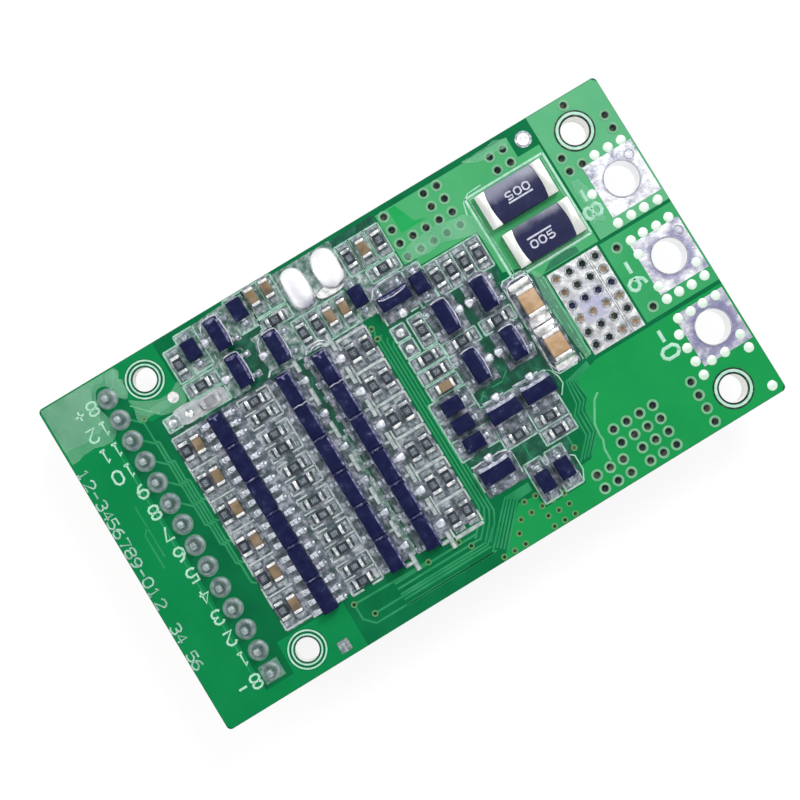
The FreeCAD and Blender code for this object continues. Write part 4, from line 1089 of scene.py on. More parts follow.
@dataclass
class Varnish:
    """Clear varnish over the parts: it climbs their sides and pools between them."""

    frame: Frame
    step: float = 0.12
    base: float = 0.035
    ripple: float = 0.03
    climb_reach: float = 1.2
    side_lap: float = 0.05
    pool_edge: float = 0.3
    ragged_edge: float = 0.12
    span: tuple[float, float, float, float] = (-19.3, 15.2, -13.6, 15.1)
    climbs: tuple[tuple[str, float, float], ...] = (
        ("cell_monitor_bodies", 0.25, 0.12), ("balance_transistor_bodies", 0.78, 0.15),
        ("level_shift_transistor_bodies", 0.78, 0.15), ("control_transistor_bodies", 0.85, 0.15),
        ("diode_bodies", 0.6, 0.15), ("bulk_capacitor_bodies", 0.8, 0.16),
        ("bulk_capacitor_ends", 0.7, 0.16),
        ("filter_resistor_bodies", 0.35, 0.1), ("gate_resistor_bodies", 0.35, 0.1),
        ("bleed_resistor_bodies", 0.35, 0.1), ("control_resistor_bodies", 0.35, 0.1),
        ("filter_capacitor_bodies", 0.35, 0.1), ("control_capacitor_bodies", 0.35, 0.1))
    pool: Path = field(default_factory=lambda: [
        (-18.8, 7.75), (-18.75, 9.3), (-15.8, 9.3), (-15.8, 14.0), (-14.4, 14.1), (-14.4, 14.8),
        (-12.2, 14.8),
        (-9.6, 15.0), (5.05, 15.0), (5.05, 9.9), (6.3, 9.8), (6.3, 9.2), (11.75, 9.15), (11.75, 5.4),
        (11.2, 4.7), (13.5, 4.6), (14.6, 3.1), (14.6, -4.3), (13.3, -4.6), (11.3, -4.6), (10.7, -6.1),
        (10.55, -9.0), (9.4, -9.3), (9.05, -10.7), (9.05, -12.2), (8.6, -13.1), (4.75, -13.1),
        (4.7, -10.4),
        (1.1, -10.3), (1.0, -7.2), (0.62, -6.7), (0.62, -0.9), (1.15, -0.8), (1.15, 7.6), (-0.15, 7.6),
        (-0.2, -11.1), (-18.8, -10.95)])
    flux: list[Path] = field(default_factory=lambda: [rectangle(*box) for box in (
        (-18.7, -6.75, -10.9, 7.6), (-6.05, -0.3, -10.95, 7.6), (1.2, 6.2, 6.3, 9.9),
        (6.3, 11.55, 6.1, 9.05), (1.27, 2.6, 3.1, 5.95), (2.92, 4.19, 3.08, 5.96),
        (1.2, 4.2, -0.95, 2.95), (4.3, 7.46, 1.42, 2.65), (7.82, 10.9, 1.42, 2.65),
        (0.7, 4.35, -6.55, -1.1), (4.4, 10.5, -5.6, -3.4), (4.4, 10.4, -7.6, -5.5),
        (7.41, 10.4, -8.97, -7.5), (1.1, 4.7, -10.3, -7.3), (4.85, 8.55, -13.0, -9.4),
        (11.0, 13.55, -4.4, 4.5), (4.35, 7.25, 2.6, 6.2), (8.05, 10.8, 2.6, 6.2),
        (4.35, 7.15, -2.1, 1.45), (8.1, 10.8, -2.1, 1.45))])
    thin_flux: list[Path] = field(default_factory=lambda: [rectangle(*box) for box in (
        (-15.7, -12.6, 7.9, 14.7), (-18.6, -15.7, 8.0, 9.25), (-12.6, -10.9, 7.7, 15.0),
        (-10.9, -7.6, 11.9, 15.0), (-7.7, 0.8, 10.85, 15.0), (-8.9, -5.4, 7.7, 11.3),
        (-5.4, 2.0, 7.7, 10.85), (0.8, 5.0, 9.9, 14.2), (-6.75, -6.2, -10.9, 0.5))])

    def axes(self) -> tuple[np.ndarray, np.ndarray]:
        """Lay out the grid.

        Returns:
            Places of its points along X and along Y, in millimetres.
        """
        left, right, low, high = self.span
        columns = round((right - left) / self.step) + 1
        rows = round((high - low) / self.step) + 1
        return np.meshgrid(np.linspace(left, right, columns), np.linspace(low, high, rows))

    def depth_inside(self, x: np.ndarray, y: np.ndarray, outline: Path) -> np.ndarray:
        """Measure how far each point lies inside an outline.

        Args:
            x: Places along X.
            y: Places along Y.
            outline: Closed outline.

        Returns:
            Distance to the outline, negative outside.
        """
        nearest = np.full(x.shape, np.inf)
        within = np.zeros(x.shape, bool)
        for (x0, y0), (x1, y1) in zip(outline, outline[1:] + outline[:1]):
            dx, dy = x1 - x0, y1 - y0
            share = np.clip(((x - x0) * dx + (y - y0) * dy) / (dx * dx + dy * dy), 0, 1)
            nearest = np.minimum(nearest, np.hypot(x - x0 - share * dx, y - y0 - share * dy))
            if y0 != y1:
                crossing = ((y0 > y) != (y1 > y)) & (x < dx * (y - y0) / dy + x0)
                within ^= crossing
        return np.where(within, nearest, -nearest)

    def swell(self, x: np.ndarray, y: np.ndarray, pitch: float, cut: float) -> np.ndarray:
        """Draw smooth noise over the grid.

        Args:
            x: Places along X.
            y: Places along Y.
            pitch: Scale of the noise; more is finer.
            cut: Level at which the noise is cut.

        Returns:
            Noise at each point.
        """
        return np.array([noise.noise(Vector((px * pitch, py * pitch, cut)))
                         for px, py in zip(x.ravel(), y.ravel())]).reshape(x.shape)

    def surface(self, x: np.ndarray, y: np.ndarray) -> np.ndarray:
        """Find the varnish's height over the board; the cubes blend the climbs of neighbours.

        Args:
            x: Places along X.
            y: Places along Y.

        Returns:
            Heights in millimetres.
        """
        waves = self.swell(x, y, 1.7, 0.3) + 0.5 * self.swell(x, y, 4.1, 7)
        risen = np.zeros(x.shape)
        for node, climb, reach in self.climbs:
            for part in self.frame.islands(node):
                near = ((np.abs(x - part.centre.x) < part.size.x / 2 + self.climb_reach)
                        & (np.abs(y - part.centre.y) < part.size.y / 2 + self.climb_reach))
                beyond_x = np.maximum(np.abs(x[near] - part.centre.x) - part.size.x / 2 + self.side_lap,
                                      0)
                beyond_y = np.maximum(np.abs(y[near] - part.centre.y) - part.size.y / 2 + self.side_lap,
                                      0)
                rise = climb * (part.high.z - TOP) * np.exp(-np.hypot(beyond_x, beyond_y) / reach)
                risen[near] += rise ** 3
        return self.base + self.ripple * waves + np.cbrt(risen)

    def layer(self, name: str, surface: Surface, heights: np.ndarray, kept: np.ndarray) -> None:
        """Make one layer of varnish from a fine grid.

        Args:
            name: Name of the piece.
            surface: Its finish.
            heights: Height of each point over the board.
            kept: Whether each point is part of the layer.
        """
        x, y = self.axes()
        bpy.ops.object.select_all(action="DESELECT")
        rows, columns = x.shape
        bpy.ops.mesh.primitive_grid_add(x_subdivisions=columns - 1, y_subdivisions=rows - 1, size=1)
        piece = bpy.context.active_object
        piece.name = name
        places = np.stack([x.ravel(), y.ravel(), TOP + heights.ravel()], axis=1) * MM
        piece.data.vertices.foreach_set("co", places.ravel())
        bpy.ops.object.mode_set(mode="EDIT")
        bpy.ops.mesh.select_all(action="DESELECT")
        bpy.ops.object.mode_set(mode="OBJECT")
        piece.data.vertices.foreach_set("select", ~kept.ravel())
        bpy.ops.object.mode_set(mode="EDIT")
        bpy.ops.mesh.delete(type="VERT")
        bpy.ops.object.mode_set(mode="OBJECT")
        bpy.ops.object.shade_smooth()
        settle(piece, surface, "solder_mask")

    def build(self) -> None:
        """Make the clear layer and the layers over flux."""
        x, y = self.axes()
        heights = self.surface(x, y)
        pooled = self.depth_inside(x, y, self.pool)
        ragged = self.ragged_edge * self.swell(x, y, 2.3, 3.1)
        edge = np.clip(pooled / self.pool_edge, 0, 1)
        clear = heights * edge ** 0.6 - 0.02 * (1 - edge)
        depths = []
        for outlines in (self.flux, self.thin_flux):
            depth = np.max([self.depth_inside(x, y, outline) for outline in outlines], axis=0)
            depths.append(np.minimum(depth, pooled) + ragged)
        self.layer("clear_varnish", Surface.CLEAR, clear,
                   (pooled > -0.15) & (np.max(depths, axis=0) < 0.4))
        for name, surface, depth, lift in (("flux_varnish", Surface.GLAZE, depths[0], 0.012),
                                           ("thin_flux_varnish", Surface.GLAZE_GREEN, depths[1], 0.01)):
            over = clear + lift * np.clip(depth / 0.1, -1, 1)
            self.layer(name, surface, over, depth > -0.13)


@dataclass
class EdgeHighlights:
    """Painted highlights where the varnish along the packages' edges catches the light: white lines and
    lilac bands, with dark bridges across the gaps.
    """

    frame: Frame
    shoulder: float = 0.9
    columns: tuple[str, ...] = ("balance_transistor_bodies", "level_shift_transistor_bodies")

    def gaps(self) -> tuple[list[Path], list[Path], list[Path]]:
        """Bridge the gaps between the packages of the three columns and lay painted glints over them.

        Returns:
            Dark bridges, the bright painted glint of each column's first gap and the faint painted glints
            of the others.
        """
        bridges: list[Path] = []
        bright: list[Path] = []
        faint: list[Path] = []
        for node in (*self.columns, "cell_monitor_bodies"):
            column = sorted(self.frame.islands(node), key=lambda body: -body.high.y)
            for rank, body in enumerate(column[1:]):
                left, right, middle = body.low.x, body.high.x, body.high.y + CELL_GAP / 2
                bridges.append([(left + 0.06, middle), (right - 0.06, middle)])
                line = [(left + 0.1, middle - 0.03), (body.centre.x - 0.15, middle + 0.04),
                        (body.centre.x + 0.2, middle - 0.03), (right - 0.05, middle + 0.02)]
                if node in self.columns and rank < 2:
                    (faint if rank else bright).append(line)
                else:
                    faint.append([(body.centre.x - 0.3, middle), (body.centre.x + 0.25, middle + 0.03)])
        return bridges, bright, faint

    def shoulders(self) -> list[Path]:
        """Lay painted highlight lines along the right and upper edges of the packages that stand singly.

        Returns:
            Lines of the highlights.
        """
        rims: list[Path] = []
        for body in self.frame.islands("control_transistor_bodies"):
            left, right, low, high = body.low.x, body.high.x, body.low.y, body.high.y
            if not body.along_x:
                rims.append([(right - 0.08, high - 0.02), (right + 0.05, high - 0.5),
                             (right + 0.1, body.centre.y),
                             (right + 0.05, low + 0.5), (right - 0.08, low + 0.05)])
                rims.append([(left + 0.08, high), (left + 0.4, high + 0.08), (right - 0.4, high + 0.08),
                             (right - 0.1, high)])
        return rims

    def brows(self) -> list[Path]:
        """Lay the broad painted highlights above the packages that lie across the board.

        Returns:
            Lines of the highlights.
        """
        return [[(body.low.x + 0.12, body.high.y + 0.14), (body.centre.x - 0.6, body.high.y),
                 (body.centre.x + 0.6, body.high.y), (body.high.x - 0.12, body.high.y + 0.14)]
                for body in self.frame.islands("control_transistor_bodies")
                if body.along_x and body.centre.y < 0]

    def top_highlights(self) -> tuple[list[Path], list[Path], list[Path]]:
        """Lay the painted highlights on the packages' tops.

        Returns:
            Wide lilac highlights, the white highlight lines along them and the narrow highlights at the
            columns' ends.
        """
        wide: list[Path] = []
        lines: list[Path] = []
        narrow: list[Path] = []
        for body in self.frame.islands("control_transistor_bodies"):
            left, right, low, high = body.low.x, body.high.x, body.low.y, body.high.y
            if body.along_x and body.centre.y > 0:
                wide.append([(left + 0.22, high - 0.28), (body.centre.x, high - 0.34),
                             (right - 0.22, high - 0.28)])
                lines.append([(left + 0.16, high - 0.24), (left + 0.5, high - 0.4),
                              (body.centre.x, high - 0.5),
                              (right - 0.5, high - 0.4), (right - 0.14, high - 0.24)])
            elif not body.along_x:
                wide.append([(right - 0.12, high - 0.35), (right - 0.1, body.centre.y),
                             (right - 0.14, low + 0.4)])
                if body.centre.y > 7.5:
                    narrow.append([(left + 0.2, high - 0.2), (body.centre.x, high - 0.38),
                                   (right - 0.2, high - 0.2)])
                    narrow.append([(left + 0.3, high - 0.22), (right - 0.3, high - 0.2)])
        for node in (*self.columns, "cell_monitor_bodies"):
            first = max(self.frame.islands(node), key=lambda body: body.high.y)
            narrow.append([(first.low.x + 0.22, first.high.y - 0.18),
                           (first.centre.x, first.high.y - 0.3),
                           (first.high.x - 0.22, first.high.y - 0.18)])
            narrow.append([(first.centre.x - 0.1, first.high.y - 0.2),
                           (first.centre.x + 0.05, first.high.y - 0.6)])
        for node in self.columns:
            for body in self.frame.islands(node):
                narrow.append([(body.high.x - 0.1, body.high.y - 0.1),
                               (body.high.x - 0.09, body.low.y + 0.1)])
        return wide, lines, narrow

    def build(self) -> None:
        """Lay the dark bridges and the painted highlights: along the edges, over the gaps, on the tops
        and in arcs over the columns' ends.
        """
        bridges, bright, faint = self.gaps()
        strokes("gap_bridges", bridges, 0.34, 0.1, Surface.BRIDGE, TOP + 0.93)
        strokes("gap_glints", bright, 0.1, 0.05, Surface.HIGHLIGHT_SOFT, TOP + 1.02)
        strokes("faint_gap_glints", faint, 0.12, 0.05, Surface.HIGHLIGHT_LILAC, TOP + 1.01)
        strokes("package_edge_highlights", self.shoulders(), 0.15, 0.1, Surface.HIGHLIGHT_WHITE, TOP + self.shoulder)
        top = max(body.high.z for body in self.frame.islands(self.columns[0]))
        wide, lines, narrow = self.top_highlights()
        strokes("package_brow_highlights", self.brows(), 0.36, 0.1, Surface.HIGHLIGHT_SOFT, TOP + 0.98)
        strokes("package_top_highlights", wide, 0.2, 0.012, Surface.HIGHLIGHT_LILAC, top, "moulding_compound")
        strokes("narrow_package_highlights", narrow, 0.15, 0.012, Surface.HIGHLIGHT_LILAC, top, "moulding_compound")
        strokes("package_glints", lines, 0.09, 0.03, Surface.HIGHLIGHT_WHITE, top, "moulding_compound")
        arcs = [[(-5.65, 7.75), (-5.45, 8.1), (-4.9, 8.28), (-4.2, 8.25), (-3.75, 8.0), (-3.5, 7.6)],
                [(-5.3, 7.8), (-4.9, 8.0), (-4.2, 7.97), (-3.95, 7.75)],
                [(-9.2, 7.75), (-8.9, 8.08), (-8.3, 8.18), (-7.75, 8.02), (-7.4, 7.65)],
                [(-8.9, 9.6), (-8.6, 10.6), (-8.0, 11.2), (-7.2, 11.4)],
                [(-12.2, 12.6), (-12.15, 13.8), (-11.7, 14.5), (-10.9, 14.7)],
                [(1.2, 7.6), (1.35, 8.9), (1.8, 9.5), (2.5, 9.7), (4.4, 9.75)],
                [(11.2, 0.7), (11.15, 3.4), (11.35, 3.95), (11.85, 4.2), (12.9, 4.2), (13.35, 3.95),
                 (13.5, 3.3)],
                [(11.2, -0.6), (11.15, -3.4), (11.4, -4.0), (11.9, -4.3), (12.9, -4.3), (13.4, -3.9)],
                [(4.6, -3.3), (5.4, -3.35), (6.6, -3.3)], [(7.5, -3.3), (8.6, -3.35), (9.9, -3.3)],
                [(1.2, -7.4), (2.0, -7.3), (2.4, -7.35)], [(3.1, -7.35), (3.7, -7.3), (4.4, -7.5)]]
        strokes("arc_highlights", arcs, 0.17, 0.14, Surface.HIGHLIGHT_WHITE, TOP + 0.08)


@dataclass
class Vias:
    """Rings, cores of varnish, of flux and of painted shade, and solder domes of the plated holes."""

    ring_outer: float = 0.5
    ring_inner: float = 0.31
    ring_top: float = TOP + 0.06
    core_level: float = 6.36

    def cores(self, name: str, places: list[Point], surface: Surface) -> None:
        """Set a cup in each via just under its rim: varnish in some, flux in others, painted shade in the
        rest.

        Args:
            name: Name of the piece.
            places: Centres in millimetres.
            surface: Finish of the cup.
        """
        cup = turned(f"{name}_cup", [(0.27, -0.5), (0.3, 0.0), (0.22, 0.0), (0.16, -0.1), (0.08, -0.15)],
                     12)
        repeat(cup, name, [place_at(x, y, self.core_level) for x, y in places], surface, "tinned_copper")

    def build(self) -> None:
        """Make the rings, cores and domes."""
        blue = [(x, y) for x, y in FIELD_VIAS if abs(y + 0.145) < 0.3]
        tan = [FIELD_VIAS[index] for index in (2, 4, 5, 8, 12, 14, 18, 20, 22)]
        dark = [place for place in FIELD_VIAS if place not in blue + tan]
        self.cores("field_cores", dark, Surface.VIA_DARK)
        self.cores("blue_field_cores", blue, Surface.VIA_BLUE)
        self.cores("tan_field_cores", tan, Surface.VIA_TAN)
        large = rings_at(open_vias(), (self.ring_outer, 24), (self.ring_inner, 16))
        sheet("via_rings", large, TOP, self.ring_top, Surface.RING, "tinned_copper")
        small = rings_at(SMALL_VIAS, (0.28, 24), (0.15, 16))
        sheet("small_via_rings", small, TOP, self.ring_top, Surface.RING_TAN, "tinned_copper")
        self.cores("via_cores", open_vias(), Surface.VIA_DARK)
        dot = turned("small_core", [(0.17, 0.0), (0.16, 0.04), (0.1, 0.05)], 10)
        dots = [place_at(x, y) for x, y in SMALL_VIAS]
        repeat(dot, "small_via_cores", dots, Surface.VIA_DARK, "tinned_copper")
        dome = turned("dome", [(0.46, 0.0), (0.44, 0.06), (0.34, 0.11), (0.18, 0.14), (0.05, 0.15)], 18)
        domes = [place_at(x, y) for x, y in WHITE_DOMES]
        repeat(dome, "solder_domes", domes, Surface.DOME, "white_solder")


@dataclass
class Ink:
    """Printed numbers, boxes and rings."""

    height: float = 0.1
    digit_width: float = 0.78
    digit_height: float = 1.12
    dot: Point = (19.05, 13.8)

    def numbers(self) -> list[Path]:
        """Number the socket's pins and the power lands.

        Returns:
            Lines of all the numbers.
        """
        size = (self.digit_width, self.digit_height)
        paths: list[Path] = []
        for pin, (_, y) in enumerate(PINS):
            number = str(13 - pin)
            if 0 < pin and len(number) == 2:
                paths += glyph(number[0], -22.95, y, *size, 180)
                paths += glyph(number[1], -24.05, y, *size, 180)
            elif 0 < pin < len(PINS) - 1:
                paths += glyph(number, -22.95, y, *size, 180)
        paths += glyph("+", -24.15, 13.05, 0.75, 0.8)
        paths += glyph("-", -24.15, -12.9, 0.8, 0.8)
        for y in (13.05, -12.95):
            paths += glyph("8", -22.95, y, *size, 180)
        return paths

    def edge_numbers(self) -> list[Path]:
        """Run plain numbers along the left edge, read downwards.

        Returns:
            Lines of the numbers.
        """
        places = (8.8, 7.75, 6.8, 5.85, 4.9, 4.1, 3.2, 2.2, 1.3, 0.35, -0.6, -1.5, -2.45, -3.55, -5.9,
                  -6.8,
                  -8.5, -9.3)
        paths: list[Path] = []
        for number, y in zip("12-3456789-0123456", places):
            paths += glyph(number, -26.35, y, 0.7, 0.85, -90)
        return paths

    def land_numbers(self) -> list[Path]:
        """Number the power lands, read from the low edge.

        Returns:
            Lines of the numbers.
        """
        paths: list[Path] = []
        for number, x, y in (("8", 20.9, 5.65), ("9", 20.9, -1.38), ("0", 20.25, -7.65)):
            paths += glyph(number, x, y, 0.95, 1.45, 90)
            paths += glyph("-", x, y + 1.5, 1.2, 1.2, 90)
        return paths

    def cell_boxes(self) -> tuple[list[Path], list[Path]]:
        """Box the parts of the six cell channels.

        Returns:
            Lines of the boxes and the wide bands between the bleed resistors.
        """
        outer, left, right = -18.69, -3.0, -0.31
        paths: list[Path] = []
        bands: list[Path] = []
        for row in range(CELLS + 1):
            y = 7.49 - 3.035 * row
            paths.append([(outer, y), (-16.3, y)])
            top = y + 0.95 if row else y
            bottom = y - 0.95 if row < CELLS else y
            paths.append([(outer, top), (outer, bottom)])
            band = 7.45 - 3.15 * row
            bands.append([(left, band - 0.1), (right, band - 0.1)])
            if row < CELLS:
                paths += [[(right, band - 0.1), (right, band - 1.15)],
                          [(right, band - 2.1), (right, band - 3.1)],
                          [(left, band), (left, band - 0.9)], [(left, band - 2.3), (left, band - 3.1)]]
        near, far, half = -12.6, -9.72, 1.36
        for cell in range(CELLS):
            y = CELL_FIRST - CELL_PITCH * cell
            for shift in (-half, 0.0, half):
                paths += [[(near, y + shift), (-11.55, y + shift)],
                          [(-10.75, y + shift), (far, y + shift)]]
            paths += [[(far, y - half), (far, y + half)], [(near, y - half), (near, y - 0.9)],
                      [(near, y + 0.9), (near, y + half)]]
        return paths, bands

    def cell_marks(self) -> tuple[list[Path], list[Path]]:
        """Mark the gaps between the transistors of the two columns.

        Returns:
            Upright bars and the arms that join them.
        """
        bars: list[Path] = []
        arms: list[Path] = []
        for gap in range(CELLS + 1):
            y = CELL_FIRST + CELL_PITCH * (0.5 - gap)
            for x in (-6.84, -3.38):
                bars.append([(x, y - 0.78), (x, y + 0.78)])
                arms.append([(x - 0.85, y + 0.03), (x, y)])
        return bars, arms

    def control_boxes(self) -> list[Path]:
        """Box the parts of the control circuit.

        Returns:
            Lines of the boxes.
        """
        boxes = [(-15.69, -14.38, 11.0, 13.96), (-14.3, -12.5, 11.08, 14.7), (-15.7, -12.7, 9.42, 10.8),
                 (-15.7, -12.7, 7.9, 9.3), (-18.55, -17.3, 8.0, 9.2), (-16.95, -15.75, 8.0, 9.2),
                 (-9.36, -7.6, 11.9, 15.1), (-7.6, -6.17, 12.4, 15.1), (-6.17, -4.83, 12.4, 15.1),
                 (-7.6, -4.83, 11.05, 12.25), (-5.4, -4.24, 7.75, 10.7), (-4.24, -2.9, 7.75, 10.7),
                 (-2.9, -1.54, 7.75, 10.7), (-1.54, -0.24, 7.75, 10.7), (0.83, 2.15, 11.3, 14.13),
                 (2.18, 3.6, 11.3, 14.13), (3.66, 5.0, 11.3, 14.13), (2.1, 4.95, 9.9, 11.15),
                 (4.6, 6.18, 6.08, 9.65), (6.3, 7.54, 6.08, 9.04), (7.54, 8.85, 6.08, 9.04),
                 (8.85, 10.2, 6.08, 9.04), (10.2, 11.54, 6.08, 9.04), (1.27, 2.54, 4.65, 5.95),
                 (1.27, 2.54, 3.1, 4.5), (2.92, 4.19, 3.08, 5.96), (1.27, 4.19, 1.73, 2.92),
                 (1.27, 4.19, 0.42, 1.6), (1.27, 4.19, -0.95, 0.28), (4.3, 7.46, 1.42, 2.65),
                 (7.82, 10.9, 1.42, 2.65), (4.37, 7.41, -7.61, -3.45), (7.41, 10.4, -7.61, -3.45),
                 (7.41, 10.4, -8.97, -7.61), (4.85, 6.45, -13.0, -9.33), (6.85, 8.5, -13.0, -9.33)]
        paths: list[Path] = []
        for box in boxes:
            paths += frame_lines(*box)
        for y in (-1.1, -2.88, -4.73, -6.53):
            paths += [[(0.72, y), (1.75, y)], [(3.2, y), (4.33, y)]]
        paths += [[(0.72, -1.1), (0.72, -6.53)], [(4.33, -1.1), (4.33, -6.53)]]
        return paths

    def outlines(self) -> list[Path]:
        """Draw the curved outlines beside larger parts.

        Returns:
            Lines of the outlines.
        """
        return [[(-12.15, 13.6), (-12.05, 14.2), (-11.75, 14.5), (-10.75, 14.6)],
                [(-12.15, 11.3), (-12.1, 11.7)], [(-12.15, 10.7), (-12.15, 10.2)],
                [(-8.6, 10.2), (-8.5, 10.8), (-8.1, 11.3), (-7.2, 11.6), (-6.7, 11.4)],
                [(-9.3, 7.75), (-8.9, 8.2), (-7.6, 8.35)], [(-5.7, 7.8), (-5.2, 8.25), (-4.2, 8.0)],
                [(1.37, 6.3), (1.35, 8.75), (1.7, 9.3), (2.4, 9.6), (4.55, 9.7)],
                [(3.6, 6.35), (4.3, 6.35)],
                [(11.05, 4.2), (11.35, 4.55), (13.1, 4.55), (13.45, 4.2), (13.45, 0.2)],
                [(11.1, 3.9), (11.1, 0.1)], [(11.1, -0.5), (11.1, -4.0), (11.45, -4.4), (13.1, -4.4),
                                             (13.4, -4.0)],
                [(10.4, -3.45), (10.9, -3.8), (11.2, -4.5), (11.25, -5.2), (10.65, -6.0)],
                [(1.1, -7.3), (1.25, -7.3), (4.2, -7.35), (4.65, -8.1), (4.6, -9.7)],
                [(1.05, -9.6), (1.05, -7.7)],
                [(8.5, -10.45), (8.95, -10.8), (8.95, -12.1), (8.5, -13.0)],
                [(11.75, 10.8), (12.0, 11.8), (12.7, 12.3), (14.0, 12.35)]]

    def build(self) -> None:
        """Print all the marks and rings, and lay the sighting dots."""
        strokes("printed_numbers", self.numbers(), 0.25, self.height, Surface.INK_BRIGHT)
        strokes("edge_numbers", self.edge_numbers(), 0.2, self.height, Surface.INK)
        strokes("land_numbers", self.land_numbers(), 0.38, self.height, Surface.INK_BRIGHT)
        boxes, bands = self.cell_boxes()
        strokes("cell_boxes", boxes, 0.22, 0.12, Surface.INK_GLAZED)
        strokes("bleed_bands", bands, 0.36, 0.13, Surface.INK_GLAZED)
        bars, arms = self.cell_marks()
        strokes("cell_marks", bars, 0.5, 0.32, Surface.INK_GLAZED)
        strokes("cell_mark_arms", arms, 0.4, 0.26, Surface.INK_GLAZED)
        strokes("control_boxes", self.control_boxes(), 0.2, 0.12, Surface.INK)
        strokes("part_outlines", self.outlines(), 0.16, self.height, Surface.INK_BRIGHT)
        strokes("shunt_box", frame_lines(12.25, 19.8, 4.2, 12.0), 0.28, self.height, Surface.INK_BRIGHT)
        strokes("shunt_inner_box", frame_lines(12.55, 19.5, 4.45, 11.75), 0.1, self.height, Surface.INK)
        rings = rings_at(LEFT_SCREWS, (1.3, 40), (1.16, 40), (1.64, 40), (1.5, 40))
        sheet("screw_rings", rings, TOP, TOP + 0.08, Surface.INK_BRIGHT)
        # Dark green ring at each left screw hole's edge: painted shade at the rim of the hole
        sheet("screw_hole_shade_rings", rings_at(LEFT_SCREWS, (1.17, 40), (1.0, 40)), TOP - 0.03, TOP + 0.03,
              Surface.CLEAR)
        x, y = self.dot
        dots = [circle(-16.8, 10.45, 0.47), circle(x, y, 0.52)]
        sheet("sighting_dots", dots, TOP, TOP + 0.07, Surface.CAPACITOR_END, "tinned_copper")
        rim = [circle(x, y, 0.72), circle(x, y, 0.54)]
        sheet("sighting_dot_rim", rim, TOP, TOP + 0.05, Surface.TINNED, "tinned_copper")
        land = [rectangle(-15.8, -14.8, -14.75, -13.75)]
        sheet("test_land", land, TOP, TOP + 0.06, Surface.TINNED, "tinned_copper")
        rims = rings_at(RIGHT_SCREWS, (1.6, 40), (1.37, 40))
        sheet("right_screw_rings", rims, TOP, TOP + 0.08, Surface.INK_BRIGHT, "tinned_copper")
        shades = rings_at(RIGHT_SCREWS, (1.74, 40), (1.6, 40), (1.37, 40), (1.21, 40))
        sheet("right_screw_shades", shades, TOP, TOP + 0.06, Surface.VIA_DARK)


